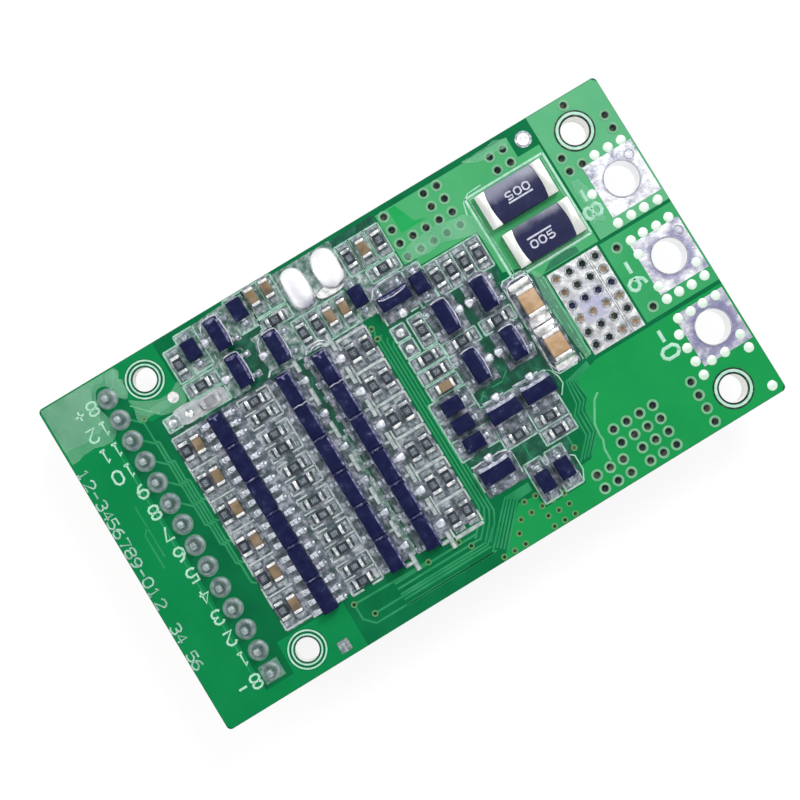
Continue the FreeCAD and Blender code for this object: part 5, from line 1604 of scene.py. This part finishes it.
@dataclass
class SmallParts:
    """Chips, packages and diodes with their pads, solder and marks."""

    frame: Frame
    chip_reach: float = 0.8
    pad_reach: float = 1.32
    pad_half_width: float = 0.46
    pad_start: float = 0.45
    tip: float = 0.12
    solder_limit: float = 14.78
    drop: tuple[Point, ...] = ((0.27, 0.0), (0.26, 0.07), (0.2, 0.14), (0.12, 0.18), (0.04, 0.19))
    low_drop: tuple[Point, ...] = ((0.42, 0.0), (0.4, 0.06), (0.24, 0.13), (0.06, 0.15))
    resistors: tuple[str, ...] = ("filter_resistor", "gate_resistor", "bleed_resistor",
                                  "control_resistor")
    capacitors: tuple[str, ...] = ("filter_capacitor", "control_capacitor")
    moulded: tuple[str, ...] = ("cell_monitor", "balance_transistor", "level_shift_transistor",
                                "control_transistor", "diode")

    def chip_pads(self, chip: Island) -> list[Path]:
        """Return the two pads of a chip.

        Args:
            chip: Box of the chip's ceramic.

        Returns:
            A rectangle beyond each end.
        """
        x, y, _ = chip.centre
        pads = []
        for side in (-1, 1):
            near, far = sorted((side * self.pad_start, side * self.pad_reach))
            half = self.pad_half_width
            if chip.along_x:
                pads.append(rectangle(x + near, x + far, y - half, y + half))
            else:
                pads.append(rectangle(x - half, x + half, y + near, y + far))
        return pads

    def outward(self, lead: Island, body: Island) -> tuple[int, int]:
        """Find the way that a lead points from its package.

        Args:
            lead: Box of the lead.
            body: Box of the package.

        Returns:
            One step along X or Y.
        """
        away = lead.centre - body.centre
        if abs(away.x) > body.size.x / 2:
            return (1, 0) if away.x > 0 else (-1, 0)
        return (0, 1) if away.y > 0 else (0, -1)

    def toe(self, lead: Island, way: tuple[int, int]) -> Point:
        """Find the middle of a lead's foot near its tip.

        Args:
            lead: Box of the lead.
            way: The way that it points.

        Returns:
            The place in millimetres.
        """
        x, y, _ = lead.centre
        if way[0]:
            return (lead.high.x - self.tip if way[0] > 0 else lead.low.x + self.tip, y)
        return (x, lead.high.y - self.tip if way[1] > 0 else lead.low.y + self.tip)

    def fillet(self) -> bpy.types.Object:
        """Shape a small hollow-backed wedge of solder for a chip's end.

        Returns:
            The wedge about the origin, rising towards -X.
        """
        length, width, height = 0.32 * MM, 0.8 * MM, 0.34 * MM
        bpy.ops.object.select_all(action="DESELECT")
        bpy.ops.mesh.primitive_cube_add(size=1)
        piece = bpy.context.active_object
        piece.data.transform(Matrix.Translation((0.5, 0, 0.5)))
        piece.data.transform(Matrix.Diagonal((length, width, height, 1)))
        bpy.ops.object.mode_set(mode="EDIT")
        bpy.ops.mesh.select_all(action="SELECT")
        bpy.ops.mesh.subdivide(number_cuts=3)
        bpy.ops.object.mode_set(mode="OBJECT")
        for vertex in piece.data.vertices:
            run = vertex.co.x / length
            vertex.co.z *= 0.12 + 0.88 * (1 - run) ** 2
            vertex.co.y *= 1 - 0.18 * run ** 2
        close_up(piece)
        bpy.ops.object.shade_smooth_by_angle(angle=math.radians(40))
        return piece

    def heap(self) -> bpy.types.Object:
        """Shape a heap of solder that widens away from its package.

        Returns:
            The heap about the origin, wide towards +X.
        """
        foot = 0.27
        piece = turned("heap", [(foot, 0.0), (0.275, 0.18), (0.23, 0.28), (0.13, 0.33), (0.04, 0.34)], 16)
        for vertex in piece.data.vertices:
            x, y = vertex.co.x / (foot * MM), vertex.co.y / (foot * MM)
            away = math.hypot(x, y) or 1.0
            square = (away ** 4 / (x ** 4 + y ** 4 or 1.0)) ** 0.18
            vertex.co.x *= square
            vertex.co.y *= square * (0.82 + 0.3 * x)
        return piece

    def chips(self) -> None:
        """Dress the chip resistors and capacitors and solder them down."""
        pads: list[Path] = []
        fillets: list[Matrix] = []
        gleams: list[Path] = []
        marks: list[Path] = []
        for kind in self.resistors + self.capacitors:
            for chip in self.frame.islands(f"{kind}_bodies"):
                x, y, _ = chip.centre
                pads += [kept_on(pad) for pad in self.chip_pads(chip)]
                turn = 0 if chip.along_x else 90
                for flip in (0, 180):
                    angle = math.radians(turn + flip)
                    fillets.append(place_at(x + self.chip_reach * math.cos(angle),
                                            y + self.chip_reach * math.sin(angle), TOP + 0.05,
                                            turn + flip))
                if kind in self.resistors:
                    gleams.append(rectangle(x - 0.29, x + 0.29, y - 0.28, y + 0.28))
                    number = str((round(abs(x) * 37) + round(abs(y) * 53)) % 900 + 100)
                    for digit, along in zip(number, (-0.18, 0.0, 0.18)):
                        shift = (0.0, along) if turn else (along, 0.0)
                        marks += glyph(digit, x + shift[0], y + shift[1], 0.12, 0.3, turn)
        for kind in self.resistors:
            self.frame.eased(f"{kind}_bodies", Surface.GLASS_BLACK, "resistor_coating", 0.04)
            self.frame.eased(f"{kind}_ends", Surface.CHIP_END, "tinned_ends", 0.05)
        for kind in self.capacitors:
            self.frame.eased(f"{kind}_bodies", Surface.CERAMIC, "capacitor_ceramic", 0.04)
            self.frame.eased(f"{kind}_ends", Surface.CAPACITOR_END, "tinned_ends", 0.1)
        sheet("chip_pads", pads, TOP, TOP + 0.09, Surface.TINNED, "tinned_copper")
        repeat(self.fillet(), "chip_solder", fillets, Surface.TINNED, "solder")
        top = TOP + 0.43
        sheet("resistor_gleams", gleams, top - 0.03, top + 0.015, Surface.GLASS_GLEAM, "resistor_coating")
        strokes("resistor_numbers", marks, 0.05, 0.015, Surface.GLASS_MARK, top + 0.01,
                "resistor_coating")

    def packages(self) -> None:
        """Dress the moulded packages and solder their leads down."""
        pads: list[Path] = []
        heaps: list[Matrix] = []
        dull: list[Matrix] = []
        pale: list[Matrix] = []
        beads: list[Matrix] = []
        glints: list[Matrix] = []
        for kind in self.moulded:
            bodies = self.frame.islands(f"{kind}_bodies")
            leads: dict[tuple[int, tuple[int, int]], list[Point]] = {}
            for lead in self.frame.islands(f"{kind}_leads"):
                index = min(range(len(bodies)),
                            key=lambda item: (bodies[item].centre.xy - lead.centre.xy).length)
                way = self.outward(lead, bodies[index])
                leads.setdefault((index, way), []).append(self.toe(lead, way))
            for (_, way), toes in sorted(leads.items()):
                lone = len(toes) == 1
                degrees = math.degrees(math.atan2(way[1], way[0]))
                half = 0.42 if lone else 0.27
                for x, y in toes:
                    near, far = -0.3, 0.45 if lone else 0.36
                    corners = [(near, -half), (far, -half), (far, half), (near, half)]
                    pads.append(kept_on([(x + px * way[0] - py * way[1], y + px * way[1] + py * way[0])
                                         for px, py in corners]))
                    middle = 0.13 if lone and kind != "diode" else 0.0
                    middle_y = max(-self.solder_limit, min(self.solder_limit, y + middle * way[1]))
                    place = (x + middle * way[0], middle_y, TOP + 0.04, degrees)
                    if kind == "diode":
                        dull.append(place_at(*place, (1.1, 1.25, 0.8)))
                    elif lone and kind == "balance_transistor":
                        pale.append(place_at(*place, (1.95, 1.4, 1.0)))
                    elif lone:
                        breadth = 1.75 if kind == "control_transistor" else 2.1
                        heaps.append(place_at(*place, (breadth, 1.5, 1.0)))
                    elif kind == "cell_monitor":
                        beyond, size = (0.28, 0.78) if way[0] > 0 else (-0.16, 0.68)
                        scale = (size, size * 0.85, 1.0)
                        glints.append(place_at(x + beyond * way[0], y, TOP + 0.12, degrees, scale))
                    else:
                        beads.append(place_at(*place, (1.15, 0.95, 1.0)))
            self.frame.eased(f"{kind}_bodies", Surface.EPOXY, "moulding_compound", 0.06)
            surface = Surface.LEAD if kind == "cell_monitor" else Surface.LEAD_GLAZED
            self.frame.eased(f"{kind}_leads", surface, "tinned_leads", 0.02)
        sheet("lead_pads", pads, TOP, TOP + 0.1, Surface.TINNED, "tinned_copper")
        for name, places, surface in (("lone_lead_solder", heaps, Surface.SOLDER),
                                      ("dulled_lead_solder", dull, Surface.SOLDER_DULL),
                                      ("pale_lead_solder", pale, Surface.SOLDER_PALE)):
            repeat(self.heap(), name, places, surface, "solder")
        repeat(turned("bead", self.drop, 12), "lead_solder", beads, Surface.SOLDER_DULL, "solder")
        repeat(turned("glint", self.drop, 12), "monitor_lead_solder", glints, Surface.SOLDER, "solder")

    def build(self) -> None:
        """Make all the small parts, and the solder on empty lands and on two diode leads."""
        self.chips()
        self.packages()
        empty = [place_at(x, y, TOP + 0.06) for x, y in ((1.95, 5.3), (1.95, 3.75), (-17.92, 8.6),
                                                         (-16.35, 8.6))]
        repeat(turned("blob", self.low_drop, 14), "empty_land_solder", empty, Surface.CHIP_END, "solder")
        caps = [place_at(5.85, -10.38, TOP + 0.1, scale=(0.8, 0.6, 3.2)),
                place_at(7.72, -10.2, TOP + 0.1, scale=(0.8, 0.85, 3.2))]
        repeat(turned("cap", self.low_drop, 14), "diode_lead_solder", caps, Surface.SOLDER, "solder")


@dataclass
class PowerParts:
    """Power lands, heat field, sensing resistors, supply capacitors and wire solder."""

    frame: Frame
    mound_stretch: float = 0.62
    mound_waist: float = 0.45

    def mound(self) -> bpy.types.Object:
        """Shape a smooth, long heap of solder.

        Returns:
            The heap about the origin.
        """
        piece = turned("mound", [(1.1, 0.0), (1.12, 0.2), (1.04, 0.5), (0.84, 0.74), (0.55, 0.87),
                                 (0.2, 0.9)], 28)
        for vertex in piece.data.vertices:
            side = 1 if vertex.co.y > 0 else -1
            share = min(1.0, abs(vertex.co.y) / (self.mound_waist * MM))
            vertex.co.y += side * self.mound_stretch * MM * share
        return piece

    def shunt_marks(self) -> list[Path]:
        """Number the two sensing resistors.

        Returns:
            Lines of the numbers.
        """
        paths: list[Path] = []
        for step, mark in enumerate("005"):
            paths += glyph(mark, 17.05 - 0.8 * step, 10.3, 0.55, 0.6, 180)
            paths += glyph(mark, 15.15 + 0.8 * step, 5.8, 0.55, 0.6)
        paths += [[(15.1, 9.75), (17.4, 9.75)], [(14.8, 6.4), (17.1, 6.4)]]
        return paths

    def build(self) -> None:
        """Make all the power parts."""
        self.frame.dress("battery_negative_pad", Surface.LAND_BRIGHT)
        self.frame.dress("load_negative_pad", Surface.LAND_LILAC)
        self.frame.dress("charger_negative_pad", Surface.LAND_GREY)
        self.frame.dress("heat_field", Surface.HEAT)
        rims = rings_at(POWER_HOLES, (1.61, 40), (1.51, 40))
        sheet("land_rims", rims, TOP + 0.05, TOP + 0.12, Surface.RIM, "tinned_copper")
        loops = rings_at(LAND_RINGS, (0.45, 24), (0.33, 24))
        sheet("land_rings", loops, TOP + 0.05, TOP + 0.1, Surface.RIM, "tinned_copper")
        rings = rings_at(FIELD_VIAS, (0.46, 24), (0.32, 16))
        sheet("field_via_rings", rings, TOP + 0.03, TOP + 0.08, Surface.TINNED, "tinned_copper")
        seams = [[(18.35, -4.6), (18.35, 2.95)], [(18.55, -4.6), (18.55, 2.95)]]
        strokes("field_seams", seams, 0.06, 0.03, Surface.TINNED, TOP + 0.05, "tinned_copper")
        self.frame.eased("shunt_bodies", Surface.SHUNT_COAT, "moulding_compound", 0.08)
        self.frame.eased("shunt_terminal_plates", Surface.SHUNT_METAL, "shunt_metal", 0.06)
        top = max(body.high.z for body in self.frame.islands("shunt_bodies"))
        strokes("shunt_numbers", self.shunt_marks(), 0.15, 0.015, Surface.INK_WHITE, top,
                "moulding_compound")
        self.frame.eased("bulk_capacitor_bodies", Surface.CERAMIC_PALE, "bulk_ceramic", 0.08)
        self.frame.eased("bulk_capacitor_ends", Surface.CAPACITOR_END, "tinned_ends", 0.1)
        self.frame.eased("bulk_capacitor_solder", Surface.CAPACITOR_END, "solder", 0.04)
        left = place_at(-3.47, 12.78, scale=(1.04, 1.12, 1.0))
        right = place_at(-0.45, 12.95, scale=(1.12, 1.06, 1.0))
        repeat(self.mound(), "left_wire_solder", [left], Surface.SOLDER_LEFT, "white_solder",
               "wire_solder_mounds")
        repeat(self.mound(), "right_wire_solder", [right], Surface.SOLDER_RIGHT, "white_solder")


@dataclass
class Socket:
    """Balance socket under the left end, and its soldered tails."""

    frame: Frame

    def build(self) -> None:
        """Dress the housing and pins and make the joints and their pads."""
        self.frame.eased("socket_housing", Surface.NYLON, "socket_nylon", 0.1)
        self.frame.dress("socket_pins", Surface.LEAD)
        cone = turned("joint", [(0.84, 0.0), (0.8, 0.08), (0.68, 0.16), (0.52, 0.3), (0.42, 0.52),
                                (0.37, 0.78),
                               (0.35, 0.98), (0.27, 1.12), (0.17, 1.19)], 20)
        places = [place_at(x, y) for x, y in PINS]
        repeat(cone, "tail_joints", places, Surface.SOLDER_GREY, "solder", "pin_joints")
        x, y = PINS[-1]
        rings = rings_at(PINS[:-1], (0.88, 24), (0.6, 24))
        rings += [rectangle(x - 0.85, x + 0.95, y - 0.8, y + 0.8), circle(x, y, 0.6)]
        sheet("tail_pads", rings, TOP, TOP + 0.06, Surface.RING_DULL, "tinned_copper")


@dataclass
class Underside:
    """Hidden face: power transistors, their lands and printed boxes, all guessed."""

    frame: Frame

    def build(self) -> None:
        """Dress the transistors and make their boxes and lands."""
        self.frame.eased("power_transistor_bodies", Surface.EPOXY_PLAIN, "moulding_compound", 0.12)
        self.frame.eased("power_transistor_tabs", Surface.LEAD, "tinned_leads", 0.05)
        self.frame.eased("power_transistor_leads", Surface.LEAD, "tinned_leads", 0.04)
        boxes: list[Path] = []
        for body in self.frame.islands("power_transistor_bodies"):
            boxes += frame_lines(body.low.x - 0.25, body.high.x + 0.25, body.low.y - 0.3,
                                 body.high.y + 0.3)
        strokes("underside_boxes", boxes, 0.18, 0.05, Surface.INK, UNDERSIDE)
        lands = []
        for lead in self.frame.islands("power_transistor_leads"):
            x, y, _ = lead.centre
            lands.append(rectangle(x - 0.7, x + 0.7, y - 1.6, y + 1.6))
        sheet("underside_lands", lands, UNDERSIDE - 0.05, UNDERSIDE, Surface.TINNED, "tinned_copper")


@dataclass
class FilmAndGlare:
    """Milky varnish film over the upper left corner, its lighter green partly painted glare."""

    level: float = TOP + 0.05
    wander: float = 0.45
    patch_wander: float = 0.15
    wave: float = 0.8
    coat_shift: float = 5.3
    coat_step: float = 0.012
    coat_depth: float = 0.004
    left_limit: float = -26.7
    coats: tuple[tuple[str, list[Path]], ...] = (
        ("corner_film_and_glare", [
            [(-28.4, 16.8), (-28.4, 10.0), (-25.6, 10.15), (-24.6, 10.5), (-23.6, 10.0), (-22.6, 9.7),
             (-22.1, 10.8),
             (-22.4, 12.1), (-22.2, 13.9), (-21.5, 14.1), (-20.6, 13.8), (-19.9, 14.2), (-19.6, 16.8)],
            [(-20.1, 10.25), (-19.0, 9.8), (-17.6, 9.55), (-16.3, 9.45), (-15.75, 10.0), (-15.85, 11.5),
             (-17.2, 11.1), (-18.1, 11.0), (-19.2, 11.35), (-19.95, 12.4), (-20.25, 11.2)]]),
        ("inner_film_and_glare", [
            [(-28.4, 16.8), (-28.4, 12.2), (-25.9, 11.2), (-24.9, 10.9), (-23.9, 11.9), (-23.6, 13.1),
             (-22.9, 14.3),
             (-22.6, 16.8)],
            [(-19.3, 10.7), (-18.3, 9.9), (-16.9, 9.8), (-16.4, 10.4), (-17.3, 10.8), (-18.4, 10.8)]]),
        ("broad_film_and_glare", [
            [(-28.4, 16.8), (-28.4, 11.0), (-25.2, 10.8), (-24.0, 11.2), (-22.9, 10.8), (-22.6, 12.0),
             (-22.8, 13.6),
             (-21.9, 14.5), (-20.6, 14.5), (-20.4, 16.8)],
            [(-20.75, 14.3), (-20.8, 12.7), (-20.3, 12.3), (-19.95, 13.2), (-19.7, 14.3)]]),
        ("pale_film_and_glare", [
            [(5.4, 10.1), (6.4, 11.3), (9.4, 11.6), (12.1, 10.6), (12.6, 8.4), (12.15, 5.9), (11.9, 9.35),
             (6.4, 10.0)],
            [(13.6, 4.5), (14.7, 3.3), (14.7, -4.6), (13.6, -4.6)],
            [(20.3, 8.9), (20.9, 8.5), (21.5, 8.7), (21.7, 7.4), (21.5, 6.2), (21.8, 5.2), (21.4, 4.3),
             (20.9, 4.6),
             (20.35, 4.1), (20.5, 5.9)],
            [(-20.9, 14.9), (-20.7, 12.6), (-20.1, 12.3), (-19.8, 13.6), (-19.3, 14.9)],
            [(13.2, 14.95), (14.5, 14.3), (16.0, 13.9), (17.7, 14.0), (17.85, 14.95)]]))
    # The wire solder's tail, then patches of painted whitish reflection over control parts
    tail_and_gloss_patches: list[Path] = field(default_factory=lambda: [
        [(-2.5, 11.75), (-0.2, 11.8), (0.15, 11.2), (-0.5, 10.95), (-1.9, 10.92), (-2.45, 11.2)],
        [(-17.6, 9.4), (-16.2, 9.55), (-14.6, 9.15), (-13.2, 9.45), (-12.8, 8.6), (-13.2, 7.75),
         (-14.9, 8.05),
         (-16.3, 7.75), (-17.5, 8.0), (-17.2, 8.7)],
        [(-6.9, 12.1), (-5.2, 12.2), (-5.0, 11.2), (-6.6, 11.1)]])

    def softened(self, outline: Path, coat: int, wander: float) -> Path:
        """Round an outline and let it wander a little, differently for each coat.

        Args:
            outline: Closed outline.
            coat: Number of the coat.
            wander: How far the outline strays.

        Returns:
            The wandering outline, kept on the board and without doubled points.
        """
        for _ in range(2):
            ends = zip(outline, outline[1:] + outline[:1])
            outline = [(x0 + share * (x1 - x0), y0 + share * (y1 - y0))
                       for (x0, y0), (x1, y1) in ends for share in (0.25, 0.75)]
        moved = []
        for x, y in outline:
            place = Vector((x * self.wave, y * self.wave, coat * self.coat_shift))
            drift = noise.noise_vector(place) * wander
            moved.append((max(self.left_limit, x + drift.x), y + drift.y))
        kept = kept_on(moved)
        return [point for point, last in zip(kept, kept[-1:] + kept[:-1]) if math.dist(point,
                                                                                       last) > 0.001]

    def build(self) -> None:
        """Lay the film's coats, the wire solder's tail and the patches of painted whitish reflection."""
        for coat, (name, outlines) in enumerate(self.coats):
            level = self.level + self.coat_step * coat
            loops = [self.softened(outline, coat, self.wander) for outline in outlines]
            sheet(name, loops, level, level + self.coat_depth, Surface.FILM_AND_GLARE)
        tail, *patches = [self.softened(outline, 1, self.patch_wander) for outline in self.tail_and_gloss_patches]
        chip_patch = self.softened(rectangle(-15.2, -13.1, 8.0, 9.2), 3, self.patch_wander)
        sheet("gloss_reflection_patches", patches, TOP + 0.12, TOP + 0.125, Surface.PAINTED_GLOSS)
        sheet("wire_solder_tail", [tail], TOP + 0.02, TOP + 0.3, Surface.CAPACITOR_END, "white_solder")
        sheet("chip_gloss_reflection", [chip_patch], TOP + 0.47, TOP + 0.475, Surface.PAINTED_GLOSS_THIN)


@dataclass
class Studio:
    """Pale floor, soft light and the camera."""

    camera_place: tuple[float, float, float] = (-3.46, -1.53, 97.96)
    camera_axes: tuple[tuple[float, float, float], ...] = (
        (0.852, -0.5156, 0.0111), (0.523, 0.8564, 0.0337), (-0.0271, -0.0232, 0.9993))
    floor_reach: float = 0.6
    floor_level: float = -0.0002
    surround: float = 0.66
    glow: float = 0.84
    bounce: float = 0.6

    def any_ray(self, tree: bpy.types.NodeTree, *rays: str) -> bpy.types.NodeSocket:
        """Pick out some kinds of light rays.

        Args:
            tree: Tree of the world or the floor.
            rays: Outputs of the light path.

        Returns:
            An output that is 1 for any of those rays.
        """
        path = add_node(tree, "ShaderNodeLightPath")
        joined = path.outputs[rays[0]]
        for ray in rays[1:]:
            joined = add_node(tree, "ShaderNodeMath", links={0: joined, 1: path.outputs[ray]},
                              operation="MAXIMUM").outputs[0]
        return joined

    def background(self) -> None:
        """Light the object evenly and show white to the camera and in reflections."""
        world = bpy.data.worlds.new("white_room")
        bpy.context.scene.world = world
        world.use_nodes = True
        tree = world.node_tree
        tree.nodes.clear()
        white = self.any_ray(tree, "Is Camera Ray", "Is Glossy Ray", "Is Transmission Ray")
        strength = add_node(tree, "ShaderNodeMapRange", {"To Min": self.surround, "To Max": 1.0},
                            {"Value": white})
        light = add_node(tree, "ShaderNodeBackground", {"Color": (1, 1, 1, 1)},
                         {"Strength": strength.outputs["Result"]})
        add_node(tree, "ShaderNodeOutputWorld", links={"Surface": light.outputs["Background"]})

    def floor(self) -> None:
        """Make the pale floor, which keeps a faint shadow under the board."""
        bpy.ops.object.select_all(action="DESELECT")
        bpy.ops.mesh.primitive_plane_add(size=self.floor_reach * 2, location=(0, 0, self.floor_level))
        plane = bpy.context.active_object
        plane.name = "studio_floor"
        material = bpy.data.materials.new("pale_card")
        material.use_nodes = True
        tree = material.node_tree
        tree.nodes.clear()
        diffuse = add_node(tree, "ShaderNodeBsdfDiffuse", {"Color": (0.2, 0.2, 0.2, 1)})
        seen = self.any_ray(tree, "Is Camera Ray", "Is Glossy Ray")
        strength = add_node(tree, "ShaderNodeMapRange", {"To Min": self.bounce, "To Max": self.glow},
                            {"Value": seen})
        glow = add_node(tree, "ShaderNodeEmission", {"Color": (1, 1, 1, 1)},
                        {"Strength": strength.outputs["Result"]})
        both = add_node(tree, "ShaderNodeAddShader", links={0: diffuse.outputs[0], 1: glow.outputs[0]})
        add_node(tree, "ShaderNodeOutputMaterial", links={"Surface": both.outputs[0]})
        plane.data.materials.append(material)

    def lamp(self, name: str, place: tuple[float, float, float], size: float, power: float) -> None:
        """Aim a square lamp at the board.

        Args:
            name: Name of the lamp.
            place: Where it hangs, in millimetres.
            size: Side in millimetres.
            power: Power in watts.
        """
        data = bpy.data.lights.new(name, "AREA")
        data.shape = "SQUARE"
        data.size = size * MM
        data.energy = power
        lamp = bpy.data.objects.new(name, data)
        bpy.context.collection.objects.link(lamp)
        lamp.location = Vector(place) * MM
        lamp.rotation_euler = (-lamp.location).to_track_quat("-Z", "Y").to_euler()

    def camera(self) -> None:
        """Hang the camera almost straight above the board."""
        data = bpy.data.cameras.new("overhead_camera")
        data.lens = 50
        data.sensor_width = 36
        data.clip_start = 0.005
        camera = bpy.data.objects.new("overhead_camera", data)
        bpy.context.collection.objects.link(camera)
        turn = Matrix([Vector(axis).normalized() for axis in self.camera_axes]).transposed().to_4x4()
        camera.matrix_world = Matrix.Translation(Vector(self.camera_place) * MM) @ turn
        bpy.context.scene.camera = camera

    def build(self) -> None:
        """Set up the whole studio."""
        self.background()
        self.floor()
        self.lamp("window_lamp", (170, 135, 240), 110, 0.42)
        self.lamp("side_lamp", (-220, 160, 240), 160, 0.12)
        self.camera()
        bpy.context.scene.view_settings.view_transform = "Standard"


def main() -> None:
    """Load the frame and build every sub-assembly in order."""
    logging.basicConfig(level=logging.INFO, format="%(name)s: %(message)s")
    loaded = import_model()
    frame = Frame(loaded["nodes"])
    builders = (Copper(frame), Varnish(frame), EdgeHighlights(frame), Vias(), Ink(), SmallParts(frame),
                PowerParts(frame), Socket(frame), Underside(frame), FilmAndGlare(), Studio())
    for builder in builders:
        builder.build()
        log.info("%s done", type(builder).__name__)


if __name__ == "__main__":
    main()
